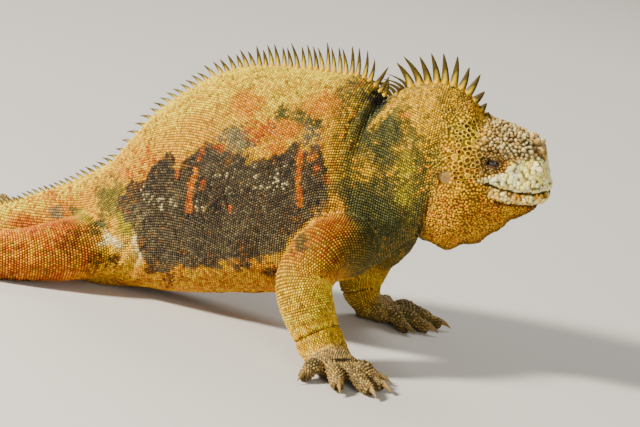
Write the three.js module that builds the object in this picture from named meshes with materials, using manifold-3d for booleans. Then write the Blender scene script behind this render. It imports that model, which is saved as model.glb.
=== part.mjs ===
// Life-size marine iguana, a large male, propped on its straight forelegs with its rump, hind
// legs and tail on the floor and its head held level. Millimetres, +Z up, nose towards +X, the
// animal's left towards +Y. The origin is the middle of the footprint, on the floor.
import * as THREE from "three";
import { mergeVertices } from "three/addons/utils/BufferGeometryUtils.js";
import Module from "manifold-3d";

const wasm = await Module();
wasm.setup();

// Driving dimensions.
const TRUNK = 346; // hip joint to snout tip, along the body
const BACK = 209; // floor to the top of the back at the shoulder
const GIRTH = 67; // half the width of the trunk at its widest
const TAIL = 545; // hip joint to tail tip, along the tail
const GAP = 0.3; // clearance between two nodes that touch
const SEED = 7;

// Stations along the body: s runs from the hip joint, positive to the snout, negative to the tail
// tip. A trunk station is a share of TRUNK and a tail station a share of TAIL.
const along = (share) => (share < 0 ? share * TAIL : share * TRUNK);

// Outline of the top of the body, as shares of BACK: tail, rump, back, nape notch, neck hump,
// crown and blunt snout.
const TOP = [
  [-1, 0.018], [-0.92, 0.055], [-0.77, 0.092], [-0.55, 0.13], [-0.33, 0.154], [-0.22, 0.166],
  [-0.163, 0.185], [-0.105, 0.265], [-0.048, 0.36], [0, 0.468], [0.026, 0.541], [0.063, 0.646],
  [0.103, 0.728], [0.154, 0.81], [0.203, 0.876], [0.257, 0.924], [0.303, 0.948], [0.4, 0.977],
  [0.474, 0.99], [0.523, 0.997], [0.549, 0.988], [0.569, 0.976], [0.591, 0.952], [0.606, 0.954],
  [0.617, 0.972], [0.631, 0.99], [0.654, 1.01], [0.706, 1.036], [0.74, 1.04], [0.769, 1.024],
  [0.789, 1.005], [0.805, 0.975], [0.825, 0.948], [0.86, 0.941], [0.9, 0.928], [0.936, 0.911],
  [0.958, 0.886], [0.972, 0.855], [0.984, 0.81], [0.993, 0.77], [1, 0.735],
];
// Outline of the underside, as shares of BACK: what lies below the floor is cut off flat.
const UNDER = [
  [-1, -0.004], [-0.3, -0.01], [-0.06, -0.012], [0.03, -0.008], [0.075, 0.008], [0.14, 0.026],
  [0.2, 0.04], [0.28, 0.066], [0.35, 0.094], [0.42, 0.12], [0.5, 0.162], [0.566, 0.22],
  [0.61, 0.262], [0.65, 0.32], [0.69, 0.4], [0.72, 0.45], [0.755, 0.452], [0.798, 0.434],
  [0.83, 0.47], [0.864, 0.486], [0.881, 0.52], [0.907, 0.558], [0.925, 0.596], [0.962, 0.634],
  [0.98, 0.672], [0.993, 0.7], [1, 0.725],
];
// Half widths, as shares of GIRTH.
const WIDTH = [
  [-1, 0.018], [-0.92, 0.045], [-0.77, 0.075], [-0.55, 0.118], [-0.33, 0.17], [-0.22, 0.215],
  [-0.163, 0.255], [-0.105, 0.33], [-0.048, 0.46], [0, 0.61], [0.086, 0.75], [0.171, 0.87],
  [0.286, 0.97], [0.4, 1], [0.486, 0.975], [0.557, 0.89], [0.606, 0.8], [0.657, 0.72],
  [0.711, 0.7], [0.749, 0.685], [0.789, 0.655], [0.829, 0.595], [0.866, 0.53], [0.9, 0.47],
  [0.934, 0.4], [0.96, 0.35], [0.98, 0.275], [0.993, 0.17], [1, 0.05],
];
// Where the section is widest, as a share of its height from below.
const WIDEST = [
  [-1, 0.5], [-0.2, 0.5], [0, 0.42], [0.3, 0.4], [0.55, 0.42], [0.75, 0.38], [0.87, 0.4],
  [0.95, 0.34], [1, 0.4],
];
// Roundness of the section over and under its widest level: 2 is an ellipse, less is a ridge.
const ROUND_OVER = [[-1, 1.8], [-0.1, 1.85], [0.3, 1.9], [0.6, 1.9], [0.76, 2.1], [0.84, 3.1], [1, 2.6]];
const ROUND_UNDER = [[-1, 2], [0, 2.5], [0.4, 2.2], [0.7, 2], [1, 2.2]];
// Heading of the body seen from above, in degrees: the head turns to its left and the tail winds.
const HEADING = [
  [-1, 34], [-0.75, 16], [-0.52, -22], [-0.34, -18], [-0.2, -1], [0.1, 0], [0.55, 0], [0.72, 8],
  [1, 8],
];

// A smooth curve through stations that never overshoots them (monotone cubic).
function curveThrough(table, scaleS, scaleValue) {
  const s = table.map((p) => scaleS(p[0]));
  const v = table.map((p) => p[1] * scaleValue);
  const step = s.slice(1).map((x, i) => (v[i + 1] - v[i]) / (x - s[i]));
  const slope = s.map((x, i) => {
    if (i === 0) return step[0];
    if (i === s.length - 1) return step[i - 1];
    const product = step[i - 1] * step[i];
    return product <= 0 ? 0 : (2 * product) / (step[i - 1] + step[i]);
  });
  return (x) => {
    if (x <= s[0]) return v[0];
    if (x >= s[s.length - 1]) return v[v.length - 1];
    let i = 0;
    while (x > s[i + 1]) i++;
    const h = s[i + 1] - s[i];
    const t = (x - s[i]) / h;
    const u = 1 - t;
    return (
      v[i] * (1 + 2 * t) * u * u +
      slope[i] * h * t * u * u +
      v[i + 1] * t * t * (3 - 2 * t) -
      slope[i + 1] * h * t * t * u
    );
  };
}
const topOf = curveThrough(TOP, along, BACK);
const underOf = curveThrough(UNDER, along, BACK);
const widthOf = curveThrough(WIDTH, along, GIRTH);
const widestOf = curveThrough(WIDEST, along, 1);
const roundOver = curveThrough(ROUND_OVER, along, 1);
const roundUnder = curveThrough(ROUND_UNDER, along, 1);
const headingOf = curveThrough(HEADING, along, Math.PI / 180);

// The body's middle line seen from above, walked out from the hip in steps of 1 mm.
const WALK_FROM = -TAIL - 20;
const WALK_TO = TRUNK + 20;
const walk = new Map([[0, new THREE.Vector2(0, 0)]]);
for (let s = 0; s < WALK_TO; s++) {
  const a = headingOf(s + 0.5);
  walk.set(s + 1, walk.get(s).clone().add(new THREE.Vector2(Math.cos(a), Math.sin(a))));
}
for (let s = 0; s > WALK_FROM; s--) {
  const a = headingOf(s - 0.5);
  walk.set(s - 1, walk.get(s).clone().sub(new THREE.Vector2(Math.cos(a), Math.sin(a))));
}

// The point at station s, y to the left of the middle line and z above the floor.
function place(s, y, z) {
  const whole = Math.floor(s);
  const middle = walk.get(whole).clone().lerp(walk.get(whole + 1), s - whole);
  const a = headingOf(s);
  return new THREE.Vector3(middle.x - y * Math.sin(a), middle.y + y * Math.cos(a), z);
}

// Swellings and hollows of both sides: station, height and reach in mm, and how far they lift.
const FORMS = [
  { s: 300, z: 182, reachS: 13, reachZ: 6, lift: 3.6 }, // brow ridge
  { s: 300, z: 170, reachS: 8, reachZ: 6, lift: -2.2 }, // eye hollow
  { s: 280, z: 142, reachS: 16, reachZ: 18, lift: 4 }, // jaw muscle
  { s: 284, z: 114, reachS: 20, reachZ: 14, lift: 5 }, // jowl
  { s: 318, z: 157, reachS: 20, reachZ: 4, lift: 2 }, // upper lip
  { s: 322, z: 146, reachS: 18, reachZ: 4, lift: 1.6 }, // lower lip
  { s: 335, z: 170, reachS: 6, reachZ: 7, lift: 3 }, // nostril swelling
  { s: 190, z: 92, reachS: 26, reachZ: 26, lift: 4 }, // shoulder
  { s: 30, z: 52, reachS: 26, reachZ: 20, lift: 5 }, // haunch
];

// The skin's point at station s and angle phi, which is 0 on top and grows towards the left.
// Each node's keep-out is the same skin grown by an allowance.
function skin(s, phi, grow = 0) {
  const top = topOf(s) + grow;
  const under = underOf(s) - grow;
  const middle = under + widestOf(s) * (top - under);
  const up = Math.cos(phi);
  const out = Math.sin(phi);
  const power = 2 / (up >= 0 ? roundOver(s) : roundUnder(s));
  const reach = up >= 0 ? top - middle : middle - under;
  const z = middle + Math.sign(up) * reach * Math.abs(up) ** power;
  let y = Math.sign(out) * (widthOf(s) + grow) * Math.abs(out) ** power;
  for (const f of FORMS) {
    const far = ((s - f.s) / f.reachS) ** 2 + ((z - f.z) / f.reachZ) ** 2;
    y += Math.sign(out) * f.lift * Math.exp(-far) * Math.min(1, Math.abs(out) * 2);
  }
  return place(s, y, z);
}

// A closed solid through rings of points. Each end is a fan to its middle, or to a tip.
function loft(rings, tip = null) {
  const around = rings[0].length;
  const points = rings.flat();
  const faces = [];
  for (let i = 0; i + 1 < rings.length; i++) {
    for (let j = 0; j < around; j++) {
      const a = i * around + j;
      const b = i * around + ((j + 1) % around);
      faces.push(a, a + around, b, b, a + around, b + around);
    }
  }
  const middleOf = (ring) =>
    ring.reduce((sum, p) => sum.add(p), new THREE.Vector3()).divideScalar(around);
  const cap = (centre, first, turn) => {
    points.push(centre);
    const c = points.length - 1;
    for (let j = 0; j < around; j++) {
      const a = first + j;
      const b = first + ((j + 1) % around);
      faces.push(...(turn ? [c, b, a] : [c, a, b]));
    }
  };
  const last = rings.length - 1;
  cap(middleOf(rings[0]), 0, false);
  cap(tip ?? middleOf(rings[last]), last * around, true);
  const flat = new Float32Array(points.flatMap((p) => [p.x, p.y, p.z]));
  const g = new THREE.BufferGeometry();
  g.setAttribute("position", new THREE.BufferAttribute(flat, 3));
  g.setIndex(faces);
  return solid(g);
}

// A three.js geometry as a solid, faces out.
function solid(geometry) {
  const bare = new THREE.BufferGeometry().setAttribute("position", geometry.getAttribute("position"));
  bare.setIndex(geometry.index);
  const merged = mergeVertices(bare, 1e-4);
  const triVerts = new Uint32Array(merged.index.array);
  const make = () =>
    new wasm.Manifold(
      new wasm.Mesh({ numProp: 3, vertProperties: merged.attributes.position.array, triVerts }),
    );
  const made = make();
  if (made.volume() > 0) return made;
  for (let i = 0; i < triVerts.length; i += 3) {
    [triVerts[i + 1], triVerts[i + 2]] = [triVerts[i + 2], triVerts[i + 1]];
  }
  return make();
}

// The largest closed surface of a solid, which drops loose scraps.
function largest(m) {
  return m.decompose().sort((a, b) => b.volume() - a.volume())[0];
}

const joined = (first, others) => others.reduce((sum, m) => sum.add(m), first);
const without = (first, others) => others.reduce((sum, m) => sum.subtract(m), first);

// Stations from a to b in even steps no longer than step.
function stations(a, b, step) {
  const count = Math.ceil(Math.abs(b - a) / step);
  return Array.from({ length: count + 1 }, (_, i) => a + ((b - a) * i) / count);
}

function ringAt(s, sides, grow = 0) {
  return Array.from({ length: sides }, (_, j) => skin(s, (2 * Math.PI * j) / sides, grow));
}

function bodyLength(from, to, step, sides, grow = 0) {
  return loft(stations(from, to, step).map((s) => ringAt(s, sides, grow)));
}

// Everything below the floor, for cutting flats at one level.
const ground = solid(
  new THREE.BoxGeometry(2000, 1000, 100).translate(0, 0, -50),
);

// A repeatable random draw from 0 to 1.
function drawer(seed) {
  let state = seed;
  return () => {
    state = (state * 1664525 + 1013904223) % 4294967296;
    return state / 4294967296;
  };
}

// Crest: heights of the spines by station, in mm.
const CREST = curveThrough(
  [
    [-1, 1.5], [-0.6, 4], [-0.3, 5.5], [-0.1, 6.5], [0.06, 8], [0.17, 10], [0.27, 14.5],
    [0.36, 18], [0.5, 21], [0.57, 18], [0.605, 11], [0.63, 23], [0.73, 23], [0.77, 18],
    [0.8, 10], [0.83, 4],
  ],
  along,
  1,
);
const SPINE_ROOT = 3; // how deep a spine is sunk into the back

// One spine: a flattened blade with a diamond section that leans and curves back.
function spine(s, height, length, thickness, lean) {
  const rise = (topOf(s + 1) - topOf(s - 1)) / 2;
  const a = headingOf(s);
  const ahead = new THREE.Vector3(Math.cos(a), Math.sin(a), rise).normalize();
  const side = new THREE.Vector3(-Math.sin(a), Math.cos(a), 0);
  const up = ahead.clone().cross(side);
  const base = place(s, 0, topOf(s));
  const ring = (level, share) => {
    const back = lean * height * Math.max(level, 0) ** 1.5;
    const middle = base.clone().addScaledVector(up, level * height).addScaledVector(ahead, -back);
    return [
      middle.clone().addScaledVector(ahead, (share * length) / 2),
      middle.clone().addScaledVector(side, (share * thickness) / 2),
      middle.clone().addScaledVector(ahead, (-share * length) / 2),
      middle.clone().addScaledVector(side, (-share * thickness) / 2),
    ];
  };
  const tip = base.clone().addScaledVector(up, height).addScaledVector(ahead, -lean * height);
  return loft([ring(-SPINE_ROOT / height, 1.05), ring(0.5, 0.68)], tip);
}

// Spines of each stretch of the crest: spacing, length and thickness at the root, and how far
// they lean back as a share of their height.
const SPINES = {
  tailTip: { spacing: 13, length: 8, thickness: 1.6, lean: 0.2 },
  tailMiddle: { spacing: 12, length: 8, thickness: 2, lean: 0.2 },
  tailRoot: { spacing: 10.5, length: 7.2, thickness: 2.4, lean: 0.2 },
  rump: { spacing: 7.2, length: 6, thickness: 2.6, lean: 0.2 },
  back: { spacing: 6, length: 5.8, thickness: 3, lean: 0.2 },
  neck: { spacing: 6.4, length: 7.4, thickness: 3.4, lean: 0.08 },
  head: { spacing: 5.8, length: 6, thickness: 3.2, lean: 0.08 },
};

function crest(from, to, { spacing, length, thickness, lean }, seed) {
  const draw = drawer(seed);
  return stations(from, to, spacing).map((s) => {
    const height = CREST(s) * (0.82 + 0.3 * draw());
    return spine(s, height, length, thickness, lean * (1 + 1.25 * draw()));
  });
}

// Node borders along the body.
const TAIL_CUTS = [-0.74, -0.46, -0.17].map(along);
const NAPE = along(0.604); // torso to neck, at the bottom of the nape notch
const OCCIPUT = along(0.735); // neck to head
const HALF_GAP = GAP / 2;

const tailTip = bodyLength(-TAIL, TAIL_CUTS[0] - HALF_GAP, 14, 12);
const tailMiddle = bodyLength(TAIL_CUTS[0] + HALF_GAP, TAIL_CUTS[1] - HALF_GAP, 14, 14);
const tailRootOf = (grow) => bodyLength(TAIL_CUTS[1] + HALF_GAP, TAIL_CUTS[2] - HALF_GAP, 13, 16, grow);
const torsoOf = (grow) => bodyLength(TAIL_CUTS[2] + HALF_GAP, NAPE - HALF_GAP, 12.5, 24, grow);
const neckOf = (grow) => bodyLength(NAPE + HALF_GAP, OCCIPUT - HALF_GAP, 6, 30, grow);
const SNOUT = [0.966, 0.976, 0.984, 0.991, 0.996, 1];
const headStations = [...stations(OCCIPUT + HALF_GAP, along(0.955), 5.8), ...SNOUT.map(along)];
const headWhole = loft(headStations.map((s) => ringAt(s, 28)));

const SPINE_CLEAR = 4.5; // from a spine's middle to a node border
const CREST_START = -TAIL + 12;
const CREST_END = along(0.815);
const RUMP_TOP = [0.24, 0.257].map(along); // the rump's last spine and the back's first
const tailTipCrest = crest(CREST_START, TAIL_CUTS[0] - SPINE_CLEAR, SPINES.tailTip, SEED + 1);
const tailMiddleCrest = crest(
  TAIL_CUTS[0] + SPINE_CLEAR, TAIL_CUTS[1] - SPINE_CLEAR, SPINES.tailMiddle, SEED + 2,
);
const tailRootCrest = crest(
  TAIL_CUTS[1] + SPINE_CLEAR, TAIL_CUTS[2] - SPINE_CLEAR, SPINES.tailRoot, SEED + 3,
);
const torsoCrest = [
  ...crest(TAIL_CUTS[2] + SPINE_CLEAR, RUMP_TOP[0], SPINES.rump, SEED + 4),
  ...crest(RUMP_TOP[1], NAPE - SPINE_CLEAR, SPINES.back, SEED + 5),
];
const neckCrest = crest(NAPE + 2 * SPINE_CLEAR, OCCIPUT - SPINE_CLEAR, SPINES.neck, SEED + 6);
const headCrest = crest(OCCIPUT + SPINE_CLEAR, CREST_END, SPINES.head, SEED + 7);

// Crown: blunt conical scales over the head and snout, in staggered rows.
const CROWN = {
  from: along(0.835), to: along(0.974), row: 7.2, column: 8.2, foot: 4.1, height: 4.8,
  reach: 0.92, // angle from the top of the head down to the brow
  fall: 0.5, // share of the height lost at the brow
  root: 2.2,
};

function tubercle(s, phi, foot, height, draw) {
  const base = skin(s, phi);
  const e = 0.02;
  const ahead = skin(s + 1, phi).sub(skin(s - 1, phi)).normalize();
  const across = skin(s, phi + e).sub(skin(s, phi - e)).normalize();
  const up = ahead.clone().cross(across).normalize();
  if (up.z < 0) up.negate();
  const turn = draw() * Math.PI;
  const ring = (level, radius) =>
    Array.from({ length: 4 }, (_, j) => {
      const a = turn + (Math.PI * j) / 2;
      return base
        .clone()
        .addScaledVector(up, level)
        .addScaledVector(ahead, radius * Math.cos(a))
        .addScaledVector(across, radius * Math.sin(a));
    });
  const tip = base
    .clone()
    .addScaledVector(up, height)
    .addScaledVector(ahead, (draw() - 0.3) * 0.5 * height);
  return loft([ring(-CROWN.root, foot), ring(height * 0.55, foot * 0.62)], tip);
}

function crown() {
  const draw = drawer(SEED + 8);
  const made = [];
  stations(CROWN.from, CROWN.to, CROWN.row).forEach((s, row) => {
    const arc = 2 * CROWN.reach * widthOf(s) * 0.95;
    const count = Math.max(2, Math.round(arc / CROWN.column)) + (row % 2);
    for (let j = 0; j < count; j++) {
      const side = (2 * j + 1) / count - 1;
      const scale = 0.75 + 0.5 * draw();
      const height = CROWN.height * scale * (1 - CROWN.fall * side * side);
      made.push(tubercle(s + draw() * 1.6, side * CROWN.reach, CROWN.foot * scale, height, draw));
    }
  });
  return made;
}

// Mouth: the lower jaw is parted from the head by a slit that follows the lips, then by a cut
// from the mouth corner down to the throat. Points are station and height.
const MOUTH = [[365, 155.5], [348, 154], [337, 151.8], [323, 151], [310, 151.6], [300, 154.5]];
const JAW_BACK = [[298, 140], [296, 120], [294, 85]];
const SLIT = 0.5;
const BEYOND = 365; // a station past the snout
const BELOW = 60; // a height under the throat

// A block whose outline in station and height is given, run right across the head.
function sideBlock(outline, halfDepth = 90) {
  const shape = new THREE.Shape(outline.map(([s, z]) => new THREE.Vector2(s, z)));
  const g = new THREE.ExtrudeGeometry(shape, { depth: 2 * halfDepth, bevelEnabled: false });
  return onHead(g, (x, y, z) => place(x, z - halfDepth, y));
}

// An extruded shape bent to the head: each of its points goes where the rule puts it.
function onHead(g, rule) {
  const p = g.getAttribute("position");
  for (let i = 0; i < p.count; i++) {
    const at = rule(p.getX(i), p.getY(i), p.getZ(i));
    p.setXYZ(i, at.x, at.y, at.z);
  }
  g.deleteAttribute("normal");
  g.deleteAttribute("uv");
  return solid(g);
}
const jawOutline = [...MOUTH, ...JAW_BACK, [BEYOND, BELOW]];
const jawRoom = [
  ...MOUTH.map(([s, z]) => [s, z + SLIT]),
  ...JAW_BACK.map(([s, z]) => [s - SLIT, z]),
  [JAW_BACK[2][0] - SLIT, BELOW],
  [BEYOND, BELOW],
];
const lowerJaw = largest(headWhole.intersect(sideBlock(jawOutline)));

// Eyes, lids, nostrils and ear drums.
const EYE = { s: 300, z: 170.5, radius: 6.6, inset: 4.2, lid: 1.3, openLong: 10, openHigh: 5 };
const NOSTRIL = { s: 334, z: 172, radius: 1.7, rim: 4 };
const EAR = { s: 266.5, z: 154, radius: 4.6, cup: 6, depth: 2.2, drum: 1.2 };

// How far out the skin is at a station and height.
function sideAt(s, z) {
  let low = 0.02;
  let high = Math.PI - 0.02;
  for (let i = 0; i < 40; i++) {
    const half = (low + high) / 2;
    if (skin(s, half).z > z) low = half;
    else high = half;
  }
  const p = skin(s, low);
  const middle = place(s, 0, z);
  return Math.hypot(p.x - middle.x, p.y - middle.y);
}
const ball = (at, radius, around = 12, rows = 8) =>
  solid(new THREE.SphereGeometry(radius, around, rows).translate(at.x, at.y, at.z));

// An almond-shaped block from the eye's middle outward, the gap between the lids.
function almond(side, out) {
  const { openLong, openHigh } = EYE;
  const shape = new THREE.Shape();
  shape.moveTo(-openLong / 2, 0.8);
  shape.quadraticCurveTo(0, -openHigh * 0.9, openLong / 2, -0.8);
  shape.quadraticCurveTo(0, openHigh * 1.1, -openLong / 2, 0.8);
  const g = new THREE.ExtrudeGeometry(shape, { depth: 20, bevelEnabled: false, curveSegments: 4 });
  return onHead(g, (x, y, z) => place(EYE.s + x, side * (out + 1 + z), EYE.z + y));
}

// A low disc whose axis runs across the head.
function disc(s, z, from, to, radius, side) {
  const ring = (y) =>
    Array.from({ length: 12 }, (_, j) => {
      const a = (2 * Math.PI * j) / 12;
      return place(s + radius * Math.cos(a), side * y, z + radius * Math.sin(a));
    });
  return loft([ring(from), ring(to)]);
}

const eyes = {};
const ears = {};
const lids = [];
const sockets = [];
for (const [name, side] of [["left", 1], ["right", -1]]) {
  const eyeOut = sideAt(EYE.s, EYE.z) - EYE.inset;
  const eyeAt = place(EYE.s, side * eyeOut, EYE.z);
  eyes[name] = ball(eyeAt, EYE.radius);
  lids.push(ball(eyeAt, EYE.radius + EYE.lid, 12, 8));
  sockets.push(ball(eyeAt, EYE.radius + GAP), almond(side, eyeOut));
  const nostrilOut = sideAt(NOSTRIL.s, NOSTRIL.z);
  lids.push(ball(place(NOSTRIL.s, side * (nostrilOut - 2), NOSTRIL.z), NOSTRIL.rim, 8, 6));
  const pit = place(NOSTRIL.s + 1, side * (nostrilOut + 2), NOSTRIL.z + 0.5);
  sockets.push(ball(pit, NOSTRIL.radius, 8, 6));
  const drumIn = sideAt(EAR.s, EAR.z) - EAR.depth;
  sockets.push(disc(EAR.s, EAR.z, drumIn, drumIn + 14, EAR.cup, side));
  ears[name] = disc(EAR.s, EAR.z, drumIn + GAP, drumIn + GAP + EAR.drum, EAR.radius, side);
}
const headFull = joined(headWhole, [...lids, ...crown(), ...headCrest]);
const head = largest(without(headFull, [...sockets, sideBlock(jawRoom)]));

// Limbs are lofts along a smooth path. Each path point has the half width across and the half
// thickness of the limb there. Flat is the direction across the palm or sole, which the limb
// turns to from the body's own length.
const upright = new THREE.Vector3(0, 0, 1);
function limbRings(path, sides, flat) {
  const points = path.map((p) => new THREE.Vector3(...p.at));
  const line = new THREE.CatmullRomCurve3(points, false, "centripetal");
  const table = (key) => path.map((p, i) => [i / (path.length - 1), p[key]]);
  const across = curveThrough(table("across"), (x) => x, 1);
  const thick = curveThrough(table("thick"), (x) => x, 1);
  const lengthwise = new THREE.Vector3(Math.sign(flat.x) || 1, 0, 0);
  return (t) => {
    const middle = line.getPoint(t);
    const ahead = line.getTangent(t);
    const side = lengthwise.clone().lerp(flat, t * t);
    side.addScaledVector(ahead, -side.dot(ahead)).normalize();
    const up = ahead.clone().cross(side);
    return Array.from({ length: sides }, (_, j) => {
      const a = (2 * Math.PI * j) / sides;
      return middle
        .clone()
        .addScaledVector(side, across(t) * Math.cos(a))
        .addScaledVector(up, thick(t) * Math.sin(a));
    });
  };
}

function limbLength(path, from, to, sides, count, flat) {
  const ringOf = limbRings(path, sides, flat);
  return loft(stations(0, count, 1).map((i) => ringOf(from + ((to - from) * i) / count)));
}

const degrees = Math.PI / 180;
const headed = (angle) => new THREE.Vector3(Math.cos(angle), Math.sin(angle), 0);
const leftOf = (ahead) => upright.clone().cross(ahead);

// A digit: two bent joints with a knuckle, then a curved claw, all from its root, its heading
// seen from above and its length.
function digit(root, heading, length, radius, rise, clawLength) {
  const ahead = headed(heading);
  const side = leftOf(ahead);
  const at = (share, z) => root.clone().addScaledVector(ahead, share * length).setZ(z);
  const joint = (share, z, size) => ({ at: at(share, z).toArray(), across: radius * size, thick: radius * size });
  const path = [
    joint(-0.22, root.z, 1.12),
    joint(0.12, root.z + 0.3 * rise, 0.95),
    joint(0.45, root.z + rise, 1.04),
    joint(0.74, radius * 1.15, 0.88),
    joint(1, radius * 0.85, 0.7),
  ];
  const flesh = limbLength(path, 0, 1, 5, 4, side);
  const clawRoot = at(0.9, radius * 1.05);
  const clawRing = (share, lift, thick) => {
    const low = thick * radius + 0.2;
    const middle = clawRoot.clone().addScaledVector(ahead, share * clawLength);
    middle.setZ(Math.max(middle.z + lift, low));
    return Array.from({ length: 4 }, (_, j) => {
      const a = (Math.PI * j) / 2;
      return middle
        .clone()
        .addScaledVector(side, thick * radius * 0.8 * Math.cos(a))
        .addScaledVector(upright, thick * radius * Math.sin(a));
    });
  };
  const tip = clawRoot.clone().addScaledVector(ahead, clawLength).setZ(0.4);
  return flesh.add(loft([clawRing(0, 0, 0.6), clawRing(0.4, 0.6, 0.5), clawRing(0.75, -1, 0.32)], tip));
}

// Forelegs: shoulder inside the chest, elbow out, wrist low and forward. Path points are x, y
// and z from the hip joint and the floor. The last but one is the wrist or ankle, and the last
// one eases the limb into the palm or sole.
const FORELEG_RIGHT = [
  { at: [212, -28, 88], across: 22, thick: 23 },
  { at: [207, -58, 88], across: 23, thick: 24 },
  { at: [198, -84, 80], across: 22, thick: 23 },
  { at: [194, -97, 62], across: 21, thick: 21.5 },
  { at: [202, -102, 44], across: 20, thick: 20.5 },
  { at: [212, -103, 28], across: 18, thick: 16.5 },
  { at: [226, -108, 13], across: 18.5, thick: 11 },
  { at: [240, -120, 9], across: 18.5, thick: 8.5 },
];
const FORELEG_LEFT = [
  { at: [216, 28, 92], across: 23, thick: 24 },
  { at: [216, 54, 86], across: 24, thick: 25 },
  { at: [209, 76, 72], across: 22, thick: 23 },
  { at: [199, 88, 54], across: 19.5, thick: 20 },
  { at: [194, 90, 38], across: 18.5, thick: 18 },
  { at: [195, 89, 25], across: 17.5, thick: 15.5 },
  { at: [204, 90, 13], across: 18, thick: 11 },
  { at: [221, 98, 9], across: 18, thick: 8.5 },
];
// Fingers from the inner one: heading off the hand's own in degrees, length, claw and radius.
const FINGERS = [
  { turn: 52, length: 26, claw: 14, radius: 4.9 },
  { turn: 25, length: 36, claw: 15, radius: 5.4 },
  { turn: 2, length: 43, claw: 16, radius: 5.6 },
  { turn: -22, length: 41, claw: 16, radius: 5.6 },
  { turn: -56, length: 29, claw: 14, radius: 5 },
];
// Hind legs trail back beside the tail, bent at the knee.
const HINDLEG_RIGHT = [
  { at: [12, -26, 36], across: 27, thick: 26 },
  { at: [-8, -50, 30], across: 24, thick: 24 },
  { at: [-34, -70, 23], across: 20, thick: 21 },
  { at: [-62, -84, 18], across: 17, thick: 17.5 },
  { at: [-94, -89, 14], across: 14.5, thick: 14.5 },
  { at: [-126, -88, 10], across: 13.5, thick: 10 },
  { at: [-144, -94, 8], across: 15, thick: 7.5 },
];
const HINDLEG_LEFT = [
  { at: [12, 26, 36], across: 27, thick: 26 },
  { at: [-6, 52, 30], across: 24, thick: 24 },
  { at: [-28, 76, 24], across: 20, thick: 21 },
  { at: [-52, 95, 18], across: 17, thick: 17.5 },
  { at: [-82, 105, 14], across: 14.5, thick: 14.5 },
  { at: [-112, 108, 10], across: 13.5, thick: 10 },
  { at: [-130, 115, 8], across: 15, thick: 7.5 },
];
const TOES = [
  { turn: 58, length: 24, claw: 11, radius: 4.4 },
  { turn: 32, length: 36, claw: 12, radius: 4.8 },
  { turn: 9, length: 48, claw: 13, radius: 5 },
  { turn: -15, length: 56, claw: 13, radius: 5 },
  { turn: -50, length: 38, claw: 12, radius: 4.6 },
];
const KNUCKLE_RISE = 4.5;

// A hand or foot: the limb's last length, a flat palm and its digits, cut flat on the floor.
// Side is 1 on the left.
function handOf(path, from, heading, palm, digits, side) {
  const wrist = new THREE.Vector3(...path[path.length - 2].at);
  const ahead = headed(heading);
  const flat = leftOf(ahead);
  const at = (share, z) => wrist.clone().addScaledVector(ahead, share * palm.length).setZ(z);
  const palmPath = [
    { at: at(-0.3, 10.5).toArray(), across: palm.width * 0.76, thick: 9 },
    { at: at(0.1, 9.6).toArray(), across: palm.width * 0.88, thick: 9 },
    { at: at(0.6, 8).toArray(), across: palm.width, thick: 8 },
    { at: at(1, 6.2).toArray(), across: palm.width * 0.8, thick: 5.6 },
  ];
  const pieces = [limbLength(palmPath, 0, 1, 8, 3, flat)];
  for (const d of digits) {
    const spread = Math.sin(d.turn * degrees);
    const root = at(0.78 - 0.38 * Math.abs(spread), 6.4);
    root.addScaledVector(flat, -side * spread * palm.width * 0.85);
    pieces.push(digit(root, heading - side * d.turn * degrees, d.length, d.radius, KNUCKLE_RISE, d.claw));
  }
  return largest(joined(limbLength(path, from, 1, 12, 4, flat), pieces).subtract(ground));
}

// What a limb may not enter: the body behind the head, grown by the gap and a little more.
const LIMB_CLEAR = GAP + 0.15;
const keepOut = joined(tailRootOf(LIMB_CLEAR), [torsoOf(LIMB_CLEAR), neckOf(LIMB_CLEAR)]);

// Elbow or knee, and wrist or ankle, as shares of the limb's path.
const SPLITS_FORE = { elbow: 0.36, wrist: 0.7 };
const SPLITS_HIND = { elbow: 0.35, wrist: 0.68 };
const LIMB_GAP = 0.005; // of the limb's path, about 0.6 mm
const PALM_FORE = { length: 24, width: 19 };
const PALM_HIND = { length: 27, width: 16 };

function limbNodes(path, splits, heading, palm, digits, side) {
  const flat = leftOf(headed(heading));
  const upper = limbLength(path, 0, splits.elbow, 14, 6, flat);
  const lower = limbLength(path, splits.elbow + LIMB_GAP, splits.wrist, 14, 6, flat);
  return {
    upper: largest(upper.subtract(keepOut).subtract(ground)),
    lower: largest(lower.subtract(keepOut).subtract(ground)),
    end: handOf(path, splits.wrist + LIMB_GAP, heading, palm, digits, side),
  };
}
const limbs = {
  foreleg_right: limbNodes(FORELEG_RIGHT, SPLITS_FORE, -42 * degrees, PALM_FORE, FINGERS, -1),
  foreleg_left: limbNodes(FORELEG_LEFT, SPLITS_FORE, 26 * degrees, PALM_FORE, FINGERS, 1),
  hindleg_right: limbNodes(HINDLEG_RIGHT, SPLITS_HIND, -160 * degrees, PALM_HIND, TOES, -1),
  hindleg_left: limbNodes(HINDLEG_LEFT, SPLITS_HIND, 158 * degrees, PALM_HIND, TOES, 1),
};

// Materials.
const finish = (color, roughness) => new THREE.MeshStandardMaterial({ color, roughness, metalness: 0 });
const hide = finish(0xb8803c, 0.75);
const headHide = finish(0xc9ab6a, 0.8);
const limbHide = finish(0xb9692c, 0.75);
const eyeball = finish(0x1c130c, 0.15);
const drum = finish(0x6e5a38, 0.5);

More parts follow.
